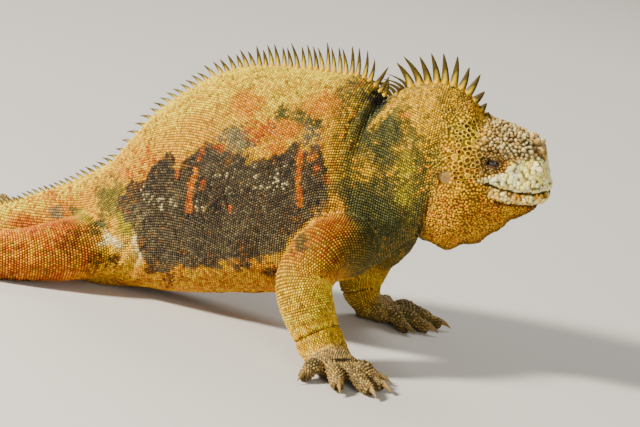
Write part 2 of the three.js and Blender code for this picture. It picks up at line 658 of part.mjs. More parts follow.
const model = new THREE.Group();
function node(name, m, material) {
  const data = m.getMesh();
  const g = new THREE.BufferGeometry();
  g.setAttribute("position", new THREE.BufferAttribute(new Float32Array(data.vertProperties), 3));
  g.setIndex(new THREE.BufferAttribute(new Uint32Array(data.triVerts), 1));
  g.computeVertexNormals();
  const mesh = new THREE.Mesh(g, material);
  mesh.name = name;
  model.add(mesh);
}
const onFloor = (m) => largest(m.subtract(ground));
node("tail_tip", onFloor(joined(tailTip, tailTipCrest)), hide);
node("tail_middle", onFloor(joined(tailMiddle, tailMiddleCrest)), hide);
node("tail_root", onFloor(joined(tailRootOf(0), tailRootCrest)), hide);
node("torso", onFloor(joined(torsoOf(0), torsoCrest)), hide);
node("neck", largest(joined(neckOf(0), neckCrest)), hide);
node("head", head, headHide);
node("lower_jaw", lowerJaw, headHide);
for (const side of ["left", "right"]) {
  node(`eye_${side}`, eyes[side], eyeball);
  node(`ear_${side}`, ears[side], drum);
}
for (const [name, parts] of Object.entries(limbs)) {
  const end = name.replace("foreleg", "hand").replace("hindleg", "foot");
  node(`${name}_upper`, parts.upper, limbHide);
  node(`${name}_lower`, parts.lower, limbHide);
  node(end, parts.end, limbHide);
}

// The origin: the middle of the footprint, on the floor.
const centre = new THREE.Box3().setFromObject(model).getCenter(new THREE.Vector3());
model.position.set(-centre.x, -centre.y, 0);

export default model;
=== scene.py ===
"""A life-size marine iguana, propped on its forelegs, dressed over its solid model."""

import math

import bpy
import numpy as np
from mathutils import Matrix, Vector
from mathutils.bvhtree import BVHTree


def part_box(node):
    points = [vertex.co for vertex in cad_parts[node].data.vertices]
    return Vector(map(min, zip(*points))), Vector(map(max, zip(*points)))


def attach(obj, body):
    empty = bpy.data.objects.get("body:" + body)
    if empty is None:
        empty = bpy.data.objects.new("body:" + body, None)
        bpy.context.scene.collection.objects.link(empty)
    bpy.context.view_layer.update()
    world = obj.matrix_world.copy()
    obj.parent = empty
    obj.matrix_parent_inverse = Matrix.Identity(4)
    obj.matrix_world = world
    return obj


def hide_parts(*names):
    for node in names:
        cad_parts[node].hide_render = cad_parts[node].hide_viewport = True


bl_info = {
    "name": "Marine Iguana",
    "version": (1, 0, 0),
    "blender": (4, 5, 0),
    "location": "View3D > Sidebar > Iguana",
    "description": "Skin, scales, crest, head and claws of a life-size marine iguana",
    "category": "Object",
}

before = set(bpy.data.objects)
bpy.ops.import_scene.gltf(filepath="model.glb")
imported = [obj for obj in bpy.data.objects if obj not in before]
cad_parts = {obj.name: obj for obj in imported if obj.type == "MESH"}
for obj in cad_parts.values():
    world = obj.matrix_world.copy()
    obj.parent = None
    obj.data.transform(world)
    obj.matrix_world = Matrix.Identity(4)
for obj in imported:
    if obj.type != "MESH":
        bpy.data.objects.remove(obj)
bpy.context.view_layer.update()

MM = 0.001
BODY = "root"
SIDES = ((1, "left"), (-1, "right"))
FLOOR_GAP = 0.02  # mm above the floor that every point keeps at least
SKIN_GAP = 0.05  # the same for the skin
FLAT_BELOW = 1.2  # mm above the floor under which the skin has no relief
BARE_BELOW = 0.35  # mm above the floor under which no scale is set
PIECE_LIMIT = 190000  # triangles in one piece of the coat
ROW_SPACING = 0.86  # of the rows of scales, as a share of the spacing within a row

# Driving sizes of the solid model, in mm, from the hip joint and the floor.
TRUNK = 346
BACK = 209
GIRTH = 67
TAIL = 545


def along(share):
    """Station of a share of the tail (negative) or of the trunk, in mm from the hip."""
    return np.where(np.asarray(share) < 0, np.asarray(share) * TAIL, np.asarray(share) * TRUNK)


# Outlines of the body by station: top, underside, half width and roundness.
TOP = [
    (-1, 0.018), (-0.92, 0.055), (-0.77, 0.092), (-0.55, 0.13), (-0.33, 0.154), (-0.22, 0.166),
    (-0.163, 0.185), (-0.105, 0.265), (-0.048, 0.36), (0, 0.468), (0.026, 0.541), (0.063, 0.646),
    (0.103, 0.728), (0.154, 0.81), (0.203, 0.876), (0.257, 0.924), (0.303, 0.948), (0.4, 0.977),
    (0.474, 0.99), (0.523, 0.997), (0.549, 0.988), (0.569, 0.976), (0.591, 0.952), (0.606, 0.954),
    (0.617, 0.972), (0.631, 0.99), (0.654, 1.01), (0.706, 1.036), (0.74, 1.04), (0.769, 1.024),
    (0.789, 1.005), (0.805, 0.975), (0.825, 0.948), (0.86, 0.941), (0.9, 0.928), (0.936, 0.911),
    (0.958, 0.886), (0.972, 0.855), (0.984, 0.81), (0.993, 0.77), (1, 0.735),
]
UNDER = [
    (-1, -0.004), (-0.3, -0.01), (-0.06, -0.012), (0.03, -0.008), (0.075, 0.008), (0.14, 0.026),
    (0.2, 0.04), (0.28, 0.066), (0.35, 0.094), (0.42, 0.12), (0.5, 0.162), (0.566, 0.22),
    (0.61, 0.262), (0.65, 0.32), (0.69, 0.4), (0.72, 0.45), (0.755, 0.452), (0.798, 0.434),
    (0.83, 0.47), (0.864, 0.486), (0.881, 0.52), (0.907, 0.558), (0.925, 0.596), (0.962, 0.634),
    (0.98, 0.672), (0.993, 0.7), (1, 0.725),
]
WIDTH = [
    (-1, 0.018), (-0.92, 0.045), (-0.77, 0.075), (-0.55, 0.118), (-0.33, 0.17), (-0.22, 0.215),
    (-0.163, 0.255), (-0.105, 0.33), (-0.048, 0.46), (0, 0.61), (0.086, 0.75), (0.171, 0.87),
    (0.286, 0.97), (0.4, 1), (0.486, 0.975), (0.557, 0.89), (0.606, 0.8), (0.657, 0.72),
    (0.711, 0.7), (0.749, 0.685), (0.789, 0.655), (0.829, 0.595), (0.866, 0.53), (0.9, 0.47),
    (0.934, 0.4), (0.96, 0.35), (0.98, 0.275), (0.993, 0.17), (1, 0.05),
]
WIDEST = [
    (-1, 0.5), (-0.2, 0.5), (0, 0.42), (0.3, 0.4), (0.55, 0.42), (0.75, 0.38), (0.87, 0.4),
    (0.95, 0.34), (1, 0.4),
]
ROUND_OVER = [(-1, 1.8), (-0.1, 1.85), (0.3, 1.9), (0.6, 1.9), (0.76, 2.1), (0.84, 3.1), (1, 2.6)]
ROUND_UNDER = [(-1, 2), (0, 2.5), (0.4, 2.2), (0.7, 2), (1, 2.2)]
HEADING = [
    (-1, 34), (-0.75, 16), (-0.52, -22), (-0.34, -18), (-0.2, -1), (0.1, 0), (0.55, 0), (0.72, 8),
    (1, 8),
]


def curve_through(table, scale_s, scale_value):
    """A smooth curve through a table's points that never overshoots them."""
    s = np.array([float(scale_s(p[0])) for p in table])
    v = np.array([p[1] * scale_value for p in table], float)
    step = np.diff(v) / np.diff(s)
    slope = np.empty(len(s))
    slope[0], slope[-1] = step[0], step[-1]
    product = step[:-1] * step[1:]
    total = step[:-1] + step[1:]
    slope[1:-1] = np.where(product > 0, 2 * product / np.where(total == 0, 1, total), 0)

    def value(x):
        x = np.clip(np.asarray(x, float), s[0], s[-1])
        i = np.clip(np.searchsorted(s, x) - 1, 0, len(s) - 2)
        h = s[i + 1] - s[i]
        t = (x - s[i]) / h
        u = 1 - t
        near = v[i] * (1 + 2 * t) * u * u + slope[i] * h * t * u * u
        return near + v[i + 1] * t * t * (3 - 2 * t) - slope[i + 1] * h * t * t * u

    return value


top_of = curve_through(TOP, along, BACK)
under_of = curve_through(UNDER, along, BACK)
width_of = curve_through(WIDTH, along, GIRTH)
widest_of = curve_through(WIDEST, along, 1)
round_over = curve_through(ROUND_OVER, along, 1)
round_under = curve_through(ROUND_UNDER, along, 1)
heading_of = curve_through(HEADING, along, math.pi / 180)

# The body's middle line seen from above, walked out from the hip in steps of 1 mm.
WALK = np.arange(-TAIL - 20, TRUNK + 21)
_turns = heading_of(WALK[:-1] + 0.5)
_walk = np.vstack([[0, 0], np.cumsum(np.stack([np.cos(_turns), np.sin(_turns)], 1), axis=0)])
_walk -= _walk[WALK == 0]


def place(s, y, z):
    """Points at station s, y to the left of the middle line and z above the floor."""
    a = heading_of(s)
    x0 = np.interp(s, WALK, _walk[:, 0])
    y0 = np.interp(s, WALK, _walk[:, 1])
    return np.stack(np.broadcast_arrays(x0 - y * np.sin(a), y0 + y * np.cos(a), z), -1)


def unplace(points):
    """Station, distance to the left and height of points."""
    s = np.interp(points[:, 0], _walk[:, 0], WALK)
    for _ in range(3):
        a = heading_of(s)
        dx = points[:, 0] - np.interp(s, WALK, _walk[:, 0])
        dy = points[:, 1] - np.interp(s, WALK, _walk[:, 1])
        s = s + dx * np.cos(a) + dy * np.sin(a)
    a = heading_of(s)
    dx = points[:, 0] - np.interp(s, WALK, _walk[:, 0])
    dy = points[:, 1] - np.interp(s, WALK, _walk[:, 1])
    return s, dy * np.cos(a) - dx * np.sin(a), points[:, 2]


# Swellings and hollows of both sides: station, height, their reach, and how far they lift.
FORMS = [
    (300, 182, 13, 6, 3.6),  # brow ridge
    (300, 170, 8, 6, -2.2),  # eye hollow
    (280, 142, 16, 18, 4),  # jaw muscle
    (284, 114, 20, 14, 5),  # jowl
    (318, 157, 20, 4, 2),  # upper lip
    (322, 146, 18, 4, 1.6),  # lower lip
    (335, 170, 6, 7, 3),  # nostril swelling
    (190, 92, 26, 26, 4),  # shoulder
    (30, 52, 26, 20, 5),  # haunch
]


def skin_point(s, phi, grow=0.0):
    """The body's surface at stations s and angles phi, 0 on top and growing to the left."""
    top = top_of(s) + grow
    under = under_of(s) - grow
    middle = under + widest_of(s) * (top - under)
    up, out = np.cos(phi), np.sin(phi)
    power = 2 / np.where(up >= 0, round_over(s), round_under(s))
    reach = np.where(up >= 0, top - middle, middle - under)
    z = middle + np.sign(up) * reach * np.abs(up) ** power
    y = np.sign(out) * (width_of(s) + grow) * np.abs(out) ** power
    for at_s, at_z, reach_s, reach_z, lift in FORMS:
        far = ((s - at_s) / reach_s) ** 2 + ((z - at_z) / reach_z) ** 2
        y = y + np.sign(out) * lift * np.exp(-far) * np.minimum(1, np.abs(out) * 2)
    return place(s, y, z)


def side_at(s, z):
    """How far out the body's surface is at a station and height."""
    low, high = 0.02, math.pi - 0.02
    for _ in range(40):
        half = (low + high) / 2
        if skin_point(np.array(float(s)), np.array(half))[2] > z:
            low = half
        else:
            high = half
    point = skin_point(np.array(float(s)), np.array(low))
    return float(np.linalg.norm((point - place(float(s), 0.0, z))[:2]))


# Limbs, as in the solid model: centre, half width across and half thickness.
FORELEG_RIGHT = [
    ((212, -28, 88), 22, 23), ((207, -58, 88), 23, 24), ((198, -84, 80), 22, 23),
    ((194, -97, 62), 21, 21.5), ((202, -102, 44), 20, 20.5), ((212, -103, 28), 18, 16.5),
    ((226, -108, 13), 18.5, 11), ((240, -120, 9), 18.5, 8.5),
]
FORELEG_LEFT = [
    ((216, 28, 92), 23, 24), ((216, 54, 86), 24, 25), ((209, 76, 72), 22, 23),
    ((199, 88, 54), 19.5, 20), ((194, 90, 38), 18.5, 18), ((195, 89, 25), 17.5, 15.5),
    ((204, 90, 13), 18, 11), ((221, 98, 9), 18, 8.5),
]
HINDLEG_RIGHT = [
    ((12, -26, 36), 27, 26), ((-8, -50, 30), 24, 24), ((-34, -70, 23), 20, 21),
    ((-62, -84, 18), 17, 17.5), ((-94, -89, 14), 14.5, 14.5), ((-126, -88, 10), 13.5, 10),
    ((-144, -94, 8), 15, 7.5),
]
HINDLEG_LEFT = [
    ((12, 26, 36), 27, 26), ((-6, 52, 30), 24, 24), ((-28, 76, 24), 20, 21),
    ((-52, 95, 18), 17, 17.5), ((-82, 105, 14), 14.5, 14.5), ((-112, 108, 10), 13.5, 10),
    ((-130, 115, 8), 15, 7.5),
]
# Digits from the inner one: turn off the hand's heading in degrees, length, claw, radius.
FINGERS = [
    (52, 26, 14, 4.9), (25, 36, 15, 5.4), (2, 43, 16, 5.6), (-22, 41, 16, 5.6), (-56, 29, 14, 5),
]
TOES = [
    (58, 24, 11, 4.4), (32, 36, 12, 4.8), (9, 48, 13, 5), (-15, 56, 13, 5), (-50, 38, 12, 4.6),
]
PALM_FORE = (24, 19)  # length, half width
PALM_HIND = (27, 16)
KNUCKLE_RISE = 4.5
LIMBS = {
    "foreleg_right": (FORELEG_RIGHT, -42, PALM_FORE, FINGERS, -1),
    "foreleg_left": (FORELEG_LEFT, 26, PALM_FORE, FINGERS, 1),
    "hindleg_right": (HINDLEG_RIGHT, -160, PALM_HIND, TOES, -1),
    "hindleg_left": (HINDLEG_LEFT, 158, PALM_HIND, TOES, 1),
}


class Tube:
    """A bent limb or digit: its surface at a share t of its length and an angle round it."""

    def __init__(self, joints, flat):
        self.points = np.array([j[0] for j in joints], float)
        shares = np.linspace(0, 1, len(joints))
        self.across = curve_through(list(zip(shares, [j[1] for j in joints])), float, 1)
        self.thick = curve_through(list(zip(shares, [j[2] for j in joints])), float, 1)
        self.flat = np.array(flat, float)
        self.lengthwise = np.array([math.copysign(1, flat[0]), 0, 0])
        fine = self.middle(np.linspace(0, 1, 200))
        self.length = float(np.linalg.norm(np.diff(fine, axis=0), axis=1).sum())

    def middle(self, t):
        """Centripetal Catmull-Rom through the joints."""
        p = self.points
        last = len(p) - 1
        x = np.clip(np.asarray(t, float), 0, 1) * last
        i = np.minimum(x.astype(int), last - 1)
        w = (x - i)[..., None]
        p1, p2 = p[i], p[i + 1]
        p0 = np.where((i > 0)[..., None], p[np.maximum(i - 1, 0)], 2 * p[0] - p[1])
        p3 = np.where((i + 2 <= last)[..., None], p[np.minimum(i + 2, last)], 2 * p[-1] - p[-2])
        root = [np.sqrt(np.linalg.norm(b - a, axis=-1, keepdims=True)) for a, b in
                ((p0, p1), (p1, p2), (p2, p3))]
        d0, d1, d2 = root
        t1 = ((p1 - p0) / d0 - (p2 - p0) / (d0 + d1) + (p2 - p1) / d1) * d1
        t2 = ((p2 - p1) / d1 - (p3 - p1) / (d1 + d2) + (p3 - p2) / d2) * d1
        c2 = -3 * p1 + 3 * p2 - 2 * t1 - t2
        c3 = 2 * p1 - 2 * p2 + t1 + t2
        return p1 + t1 * w + c2 * w * w + c3 * w ** 3

    def ahead(self, t):
        e = 1e-3
        t = np.asarray(t)
        return unit(self.middle(np.minimum(t + e, 1)) - self.middle(np.maximum(t - e, 0)))

    def point(self, t, angle):
        t, angle = np.broadcast_arrays(np.asarray(t, float), np.asarray(angle, float))
        middle, ahead = self.middle(t), self.ahead(t)
        w = (t * t)[..., None]
        side = self.lengthwise * (1 - w) + self.flat * w
        side = unit(side - ahead * (side * ahead).sum(-1, keepdims=True))
        up = np.cross(ahead, side)
        c = (self.across(t) * np.cos(angle))[..., None]
        d = (self.thick(t) * np.sin(angle))[..., None]
        return middle + side * c + up * d


def unit(v):
    """Directions of length 1."""
    return v / np.linalg.norm(v, axis=-1, keepdims=True)


def turns(count):
    """Evenly spaced angles of one full turn."""
    return np.linspace(0, 2 * math.pi, count, endpoint=False)


def headed(angle):
    return np.array([math.cos(angle), math.sin(angle), 0.0])


def left_of(ahead):
    return np.array([-ahead[1], ahead[0], 0.0])


def digit_tube(root, heading, length, radius):
    """A digit that rises to its knuckle and comes down to the floor."""
    ahead = headed(heading)

    def joint(share, z, size):
        at = root + ahead * share * length
        return ((at[0], at[1], z), radius * size, radius * size)

    joints = [
        joint(-0.22, root[2], 1.12),
        joint(0.12, root[2] + 0.3 * KNUCKLE_RISE, 0.95),
        joint(0.45, root[2] + KNUCKLE_RISE, 1.04),
        joint(0.74, radius * 1.15, 0.88),
        joint(1, radius * 0.85, 0.7),
    ]
    return Tube(joints, left_of(ahead))


def limb_tubes():
    """Every limb, palm and digit as a Tube, and each claw's root, heading, length and radius."""
    tubes, claws = {}, []
    for name, (joints, heading, palm, digits, side) in LIMBS.items():
        heading = math.radians(heading)
        ahead, flat = headed(heading), left_of(headed(heading))
        tubes[name] = Tube(joints, flat)
        wrist = np.array(joints[-2][0], float)

        def at(share, z):
            point = wrist + ahead * share * palm[0]
            return np.array([point[0], point[1], z])

        palm_joints = [
            (at(-0.3, 10.5), palm[1] * 0.76, 9),
            (at(0.1, 9.6), palm[1] * 0.88, 9),
            (at(0.6, 8), palm[1], 8),
            (at(1, 6.2), palm[1] * 0.8, 5.6),
        ]
        tubes[f"{name}_palm"] = Tube(palm_joints, flat)
        for i, (turn, length, claw, radius) in enumerate(digits):
            spread = math.sin(math.radians(turn))
            root = at(0.78 - 0.38 * abs(spread), 6.4) - flat * side * spread * palm[1] * 0.85
            turned = heading - side * math.radians(turn)
            tubes[f"{name}_digit{i + 1}"] = digit_tube(root, turned, length, radius)
            tip = root + headed(turned) * 0.9 * length
            claws.append((np.array([tip[0], tip[1], radius * 1.05]), turned, claw, radius))
    return tubes, claws


TUBES, CLAWS = limb_tubes()

# Eyes, ears, nostrils and mouth by station and height.
EYE_S, EYE_Z, EYE_RADIUS, EYE_INSET, LID = 300, 170.5, 6.6, 4.2, 1.3
EAR_S, EAR_Z, EAR_CUP, EAR_DEPTH = 266.5, 154, 6, 2.2
NOSTRIL_S, NOSTRIL_Z, NOSTRIL_RIM = 334, 172, 4
LID_LONG, LID_HIGH = 11.0, 3.2  # the gap between the lids
HEAD_FROM = 256.0  # station where the head's own scales begin
MOUTH = [(300, 154.5), (310, 151.6), (323, 151), (337, 151.8), (348, 154)]
mouth_of = curve_through(MOUTH, float, 1)
EYE_OUT = side_at(EYE_S, EYE_Z) - EYE_INSET
EYE_AT = {side: place(float(EYE_S), side * EYE_OUT, EYE_Z) for side in (1, -1)}

# Where the solid model's origin lies: the same eye in both frames.
_low, _high = (np.array(corner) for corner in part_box("eye_right"))
ORIGIN = (_low + _high) / 2 / MM - EYE_AT[-1]


def metres(points):
    return (np.asarray(points, float) + ORIGIN) * MM


# Repeatable noise


def lattice(ix, iy, iz, seed):
    """A draw from 0 to 1 for each whole-number corner."""
    h = (ix * 374761393 + iy * 668265263 + iz * 2147483647 + seed * 1274126177) & 0xFFFFFFFF
    h = ((h ^ (h >> 13)) * 1274126177) & 0xFFFFFFFF
    return ((h ^ (h >> 16)) & 0xFFFF) / 65535.0


def noise(points, size, seed):
    """Smooth noise from 0 to 1 over points in mm, with patches of about that size."""
    q = points / size
    cell = np.floor(q).astype(np.int64)
    f = q - cell
    f = f * f * (3 - 2 * f)
    total = 0.0
    for dx in (0, 1):
        for dy in (0, 1):
            for dz in (0, 1):
                w = np.abs(1 - dx - f[:, 0]) * np.abs(1 - dy - f[:, 1]) * np.abs(1 - dz - f[:, 2])
                total = total + w * lattice(cell[:, 0] + dx, cell[:, 1] + dy, cell[:, 2] + dz, seed)
    return total


def rough_noise(points, size, seed, octaves=3):
    total, weight = 0.0, 0.0
    for i in range(octaves):
        total = total + noise(points, size / 2 ** i, seed + i) * 0.6 ** i
        weight += 0.6 ** i
    return total / weight


def step(low, high, x):
    t = np.clip((x - low) / (high - low), 0, 1)
    return t * t * (3 - 2 * t)


def bump(x, middle, reach):
    return np.exp(-((x - middle) / reach) ** 2)


# Markings

# Edges of the charcoal patch on the flank, and the lower edge of the yellow back: heights by
# station.
PATCH_TOP = curve_through(
    [(24, 80), (28, 88), (40, 97), (46, 112), (56, 119), (68, 115), (79, 133), (98, 142),
     (108, 138), (124, 137), (135, 142), (144, 140), (157, 157), (165, 153), (172, 158),
     (182, 150), (190, 130), (193, 118)],
    float, 1,
)
PATCH_UNDER = curve_through(
    [(24, 76), (33, 66), (44, 62), (51, 48), (60, 36), (71, 34), (91, 42), (109, 44), (131, 54),
     (148, 62), (162, 70), (170, 86), (185, 106), (193, 116)],
    float, 1,
)
YELLOW_EDGE = curve_through(
    [(-60, 56), (4, 108), (42, 132), (80, 152), (118, 172), (158, 186), (190, 190), (204, 192)],
    float, 1,
)
SALT_EDGE = curve_through(
    [(290, 157), (300, 160), (308, 164), (314, 173), (325, 177), (340, 179)], float, 1,
)

# Blotches: hue, station, height, reach along and up the body, and strength.
BACK_BLOTCHES = [
    ("ash", 109, 147, 16, 11, 0.9), ("moss", 139, 175, 7, 7, 0.8), ("moss", 154, 174, 9, 6, 0.8),
    ("moss", 167, 174, 7, 5, 0.8), ("ash", 135, 162, 6, 4, 0.7), ("moss", 179, 196, 6, 7, 0.75),
    ("ash", 165, 164, 9, 7, 0.75), ("orange", 108, 172, 15, 10, 0.8),
    ("red", 127, 158, 13, 9, 0.75), ("orange", 149, 164, 11, 6, 1.0),
    ("orange", 143, 149, 10, 7, 0.9), ("salmon", 76, 150, 16, 11, 0.6),
    ("salmon", 62, 130, 11, 8, 0.6), ("red", 40, 115, 8, 10, 0.6),
    ("orange", 166, 187, 13, 9, 0.85), ("orange", 184, 186, 12, 12, 0.85),
    ("salmon", 91, 162, 11, 7, 0.5), ("red", 46, 97, 4, 9, 0.8),
]
PATCH_BLOTCHES = [
    ("red", 92, 109, 2.5, 4.5, 0.9), ("red", 84, 131, 2, 6, 0.7), ("red", 69, 111, 2, 6, 0.6),
    ("red", 98, 139, 7, 3.5, 0.6), ("orange", 172, 150, 4, 5, 0.8), ("red", 187, 137, 3, 5, 0.9),
    ("red", 178, 142, 2, 6, 0.7), ("red", 192, 139, 2.5, 4, 0.8), ("orange", 169, 119, 3, 6, 0.8),
    ("red", 118, 96, 2, 4, 0.5),
]
NECK_BLOTCHES = [
    ("moss", 221, 116, 24, 20, 0.85), ("gold", 212, 155, 6, 14, 0.6),
    ("gold", 230, 162, 12, 12, 0.4), ("gold", 244, 200, 26, 17, 0.75),
    ("gold", 250, 176, 10, 10, 0.5), ("lime", 263, 171, 7, 11, 0.8),
    ("lime", 240, 135, 6, 12, 0.7), ("lime", 237, 158, 6, 11, 0.6),
    ("moss", 204, 184, 11, 17, 0.9), ("moss", 217, 179, 13, 13, 0.85),
    ("moss", 218, 162, 11, 9, 0.75), ("orange", 227, 192, 4, 5, 0.4),
    ("soot", 204, 203, 6, 12, 1.2), ("salmon", 196, 115, 8, 9, 1.0),
    ("moss", 256, 130, 8, 11, 0.5), ("salt", 264, 154, 4, 4, 0.9),
]
GROIN_BLOTCHES = [
    ("olive", 14, 74, 17, 16, 1.0), ("lime", 35, 62, 12, 11, 1.0), ("moss", 10, 51, 8, 6, 0.8),
    ("lime", -5, 55, 9, 6, 0.8), ("salt", 25, 45, 11, 6, 0.65), ("salt", 47, 45, 7, 12, 0.55),
    ("gold", 25, 37, 6, 5, 0.9), ("gold", 40, 34, 5, 12, 0.9), ("umber", 16, 28, 4, 7, 0.6),
    ("umber", 28, 29, 5, 6, 0.6), ("umber", 58, 27, 6, 4, 0.7), ("umber", 67, 21, 6, 3, 0.7),
    ("umber", 155, 51, 6, 4, 0.9), ("orange", 139, 55, 13, 4, 0.8), ("ash", -34, 49, 8, 6, 0.85),
    ("moss", -20, 55, 6, 4, 0.8), ("red", -59, 34, 13, 6, 0.7), ("red", -44, 58, 14, 6, 0.5),
]
PALE_GROUPS = [  # station, height and reach of the groups of pale scales on the patch
    (138, 125, 11, 11), (154, 127, 10, 11), (112, 117, 11, 11), (39, 92, 9, 9), (60, 84, 16, 8),
    (90, 91, 14, 8),
]
STREAKS = [  # start and end in station and height, reach
    ((83, 117), (82, 102), 3.6), ((82, 102), (85, 86), 3.4), ((162, 152), (166, 130), 3.2),
    ((166, 130), (172, 112), 3.0),
]
GOLD_STREAK = ((219, 205), (215, 194), (208, 178))


def gamma(colour):
    """A display colour of 0 to 1 as the light it stands for."""
    c = np.asarray(colour, float)
    return np.where(c <= 0.04045, c / 12.92, ((c + 0.055) / 1.055) ** 2.4)


def streak(s, z, start, end, reach):
    """1 near the line from start to end in station and height, falling to 0 past reach."""
    a, b = np.array(start, float), np.array(end, float)
    d = b - a
    t = np.clip(((s - a[0]) * d[0] + (z - a[1]) * d[1]) / (d @ d), 0, 1)
    far = np.hypot(s - a[0] - t * d[0], z - a[1] - t * d[1])
    return 1 - step(reach * 0.5, reach, far)


def lay(under, over, weight):
    """One colour over another, by a weight for each point or for all."""
    weight = np.clip(weight, 0, 1)
    return under + (over - under) * (weight[:, None] if np.ndim(weight) else weight)


class Ground:
    """The noise and places that every marking of a set of points is drawn from."""

    def __init__(self, points, hues):
        self.s, self.y, self.z = unplace(points)
        self.large = rough_noise(points, 34, 11)
        self.small = rough_noise(points, 12, 23)
        self.fine = rough_noise(points, 4.6, 37, 2)
        self.speck = step(0.18, 0.82, noise(points, 1.6, 51))
        self.grain = step(0.18, 0.82, noise(points, 1.9, 57))
        self.runs = rough_noise(points * [1, 1, 0.34], 6, 61, 2)
        self.below = top_of(self.s) - self.z
        self.side = step(2, 14, np.abs(self.y))
        self.hues = hues

    def flat(self, name):
        """One hue on every point."""
        return np.broadcast_to(gamma(getattr(self.hues, name)), (len(self.s), 3)).copy()

    def dither(self, amount):
        """1 on a share of the scales, the share following amount."""
        return step(-0.1, 0.1, amount - self.grain)

    def mottled(self, colour, *layers):
        """Hues over a colour, each on a share of the scales: hue, strength, share, contrast of
        the noise that crowds them, and that noise."""
        for name, strength, share, contrast, kind in layers:
            cover = strength * self.dither(share + contrast * (kind - 0.5))
            colour = lay(colour, self.flat(name), cover)
        return colour

    def blotched(self, colour, marks):
        """Ragged blotches over a colour, in their order."""
        for name, at_s, at_z, reach_s, reach_z, strength in marks:
            near = np.hypot((self.s - at_s) / reach_s, (self.z - at_z) / reach_z)
            ragged = 1.1 * (self.small - 0.5) + 0.9 * (self.fine - 0.5)
            cover = strength * step(-0.45, 0.55, 1 - near + ragged)
            mixed = 0.35 * cover + 0.65 * self.dither(cover * 1.25 - 0.12)
            colour = lay(colour, self.flat(name), mixed)
        return colour


def trunk_markings(g):
    """Yellow back, orange mottling, the charcoal patch and the belly's margin."""
    cream, gold, orange, red = (g.flat(n) for n in ("cream", "gold", "orange", "red"))
    ash, umber, salt, soot = (g.flat(n) for n in ("ash", "umber", "salt", "soot"))
    colour = g.mottled(gold, ("orange", 1, 0.42, 1.3, g.small), ("red", 0.8, 0.12, 1.2, g.fine),
                       ("salmon", 0.5, 0.3, 1.2, g.large))
    yellow = step(-14, 14, g.z - YELLOW_EDGE(g.s) + 26 * (g.large - 0.5) + 16 * (g.small - 0.5))
    light = g.mottled(gold, ("cream", 1, 0.62, 0.9, g.fine), ("orange", 0.5, 0.1, 0.9, g.small))
    colour = lay(colour, light, yellow)
    colour = lay(colour, cream, 0.7 * (1 - step(3, 6, g.below)))
    colour = g.mottled(colour, ("umber", 0.5, 0.08, 0.5, g.fine))
    colour = g.blotched(colour, BACK_BLOTCHES)
    colour = g.blotched(colour, GROIN_BLOTCHES)

    low = 1 - step(8, 30, g.z - under_of(g.s) + 14 * (g.small - 0.5))
    trunk = step(36, 66, g.s) * (1 - step(196, 226, g.s))
    margin = g.mottled(gold, ("orange", 1, 0.55, 1.3, g.small),
                       ("umber", 0.85, -0.156, 2.6, g.small))
    colour = lay(colour, margin, low * trunk)

    ragged = 15 * (g.small - 0.5) + 11 * (g.fine - 0.5) + 3.5 * (g.grain - 0.5)
    inside = np.minimum(PATCH_TOP(g.s) - g.z, (g.z - PATCH_UNDER(g.s)) * 0.6) + ragged
    inside = np.where((g.s > 22) & (g.s < 195), inside, -20)
    depth = (PATCH_TOP(g.s) - g.z) / np.maximum(PATCH_TOP(g.s) - PATCH_UNDER(g.s), 1)
    greyer = 0.12 + 0.5 * depth + 1.2 * (g.large - 0.5)
    stone = lay(g.flat("charcoal"), soot, 0.75 * g.dither(0.62 - greyer))
    stone = lay(stone, ash, 0.5 * g.dither(0.1 + 1.1 * greyer))
    stone = lay(stone, umber, 0.5 * g.dither(1.4 * (g.small - 0.5) + 0.12 * depth))
    crowd = sum(np.exp(-((g.s - a) / r) ** 2 - ((g.z - b) / q) ** 2) for a, b, r, q in PALE_GROUPS)
    pale = step(1.04, 1.2, g.speck + 0.4 * (g.large - 0.5) + 0.3 * (g.fine - 0.5) + 0.3 * crowd)
    stone = lay(stone, lay(ash, salt, 0.1 + 0.3 * np.minimum(1, crowd)), 0.75 * pale)
    stone = g.blotched(stone, PATCH_BLOTCHES)
    for start, end, reach in STREAKS:
        near = streak(g.s + 5 * (g.fine - 0.5), g.z, start, end, reach)
        stone = lay(stone, lay(red, orange, g.dither(0.5)), 0.92 * near)
    rust = step(0.52, 0.7, g.small) * (1 - step(4, 18, inside))
    stone = lay(stone, lay(orange, umber, 0.5), 0.5 * g.dither(0.3 * rust))
    cover = step(-5, 4, inside)
    return lay(colour, stone, 0.3 * cover + 0.7 * g.dither(1.3 * cover - 0.15))


def tail_markings(g, colour):
    """Orange and gold with dark rings, over what lies behind the hips."""
    tail = g.mottled(g.flat("orange"), ("gold", 1, 0.5, 1.3, g.small),
                     ("salmon", 1, 0.3, 1.5, g.large))
    tail = lay(tail, g.flat("cream"), (1 - step(6, 20, g.below)) * g.dither(0.75))
    tail = g.mottled(tail, ("red", 0.7, -0.144, 1.8, g.fine))
    rings = 0.5 + 0.5 * np.sin(g.s / 9.5 + 4 * g.large)
    tail = lay(tail, g.flat("umber"), 0.45 * step(0.4, 0.8, rings) * (1 - step(-190, -90, g.s)))
    tail = lay(tail, g.flat("ash"), 0.5 * g.dither(0.9 - g.large) * (1 - step(-330, -150, g.s)))
    tail = g.blotched(tail, GROIN_BLOTCHES)
    return lay(colour, tail, 1 - step(-26, 10, g.s + 12 * (g.small - 0.5)))


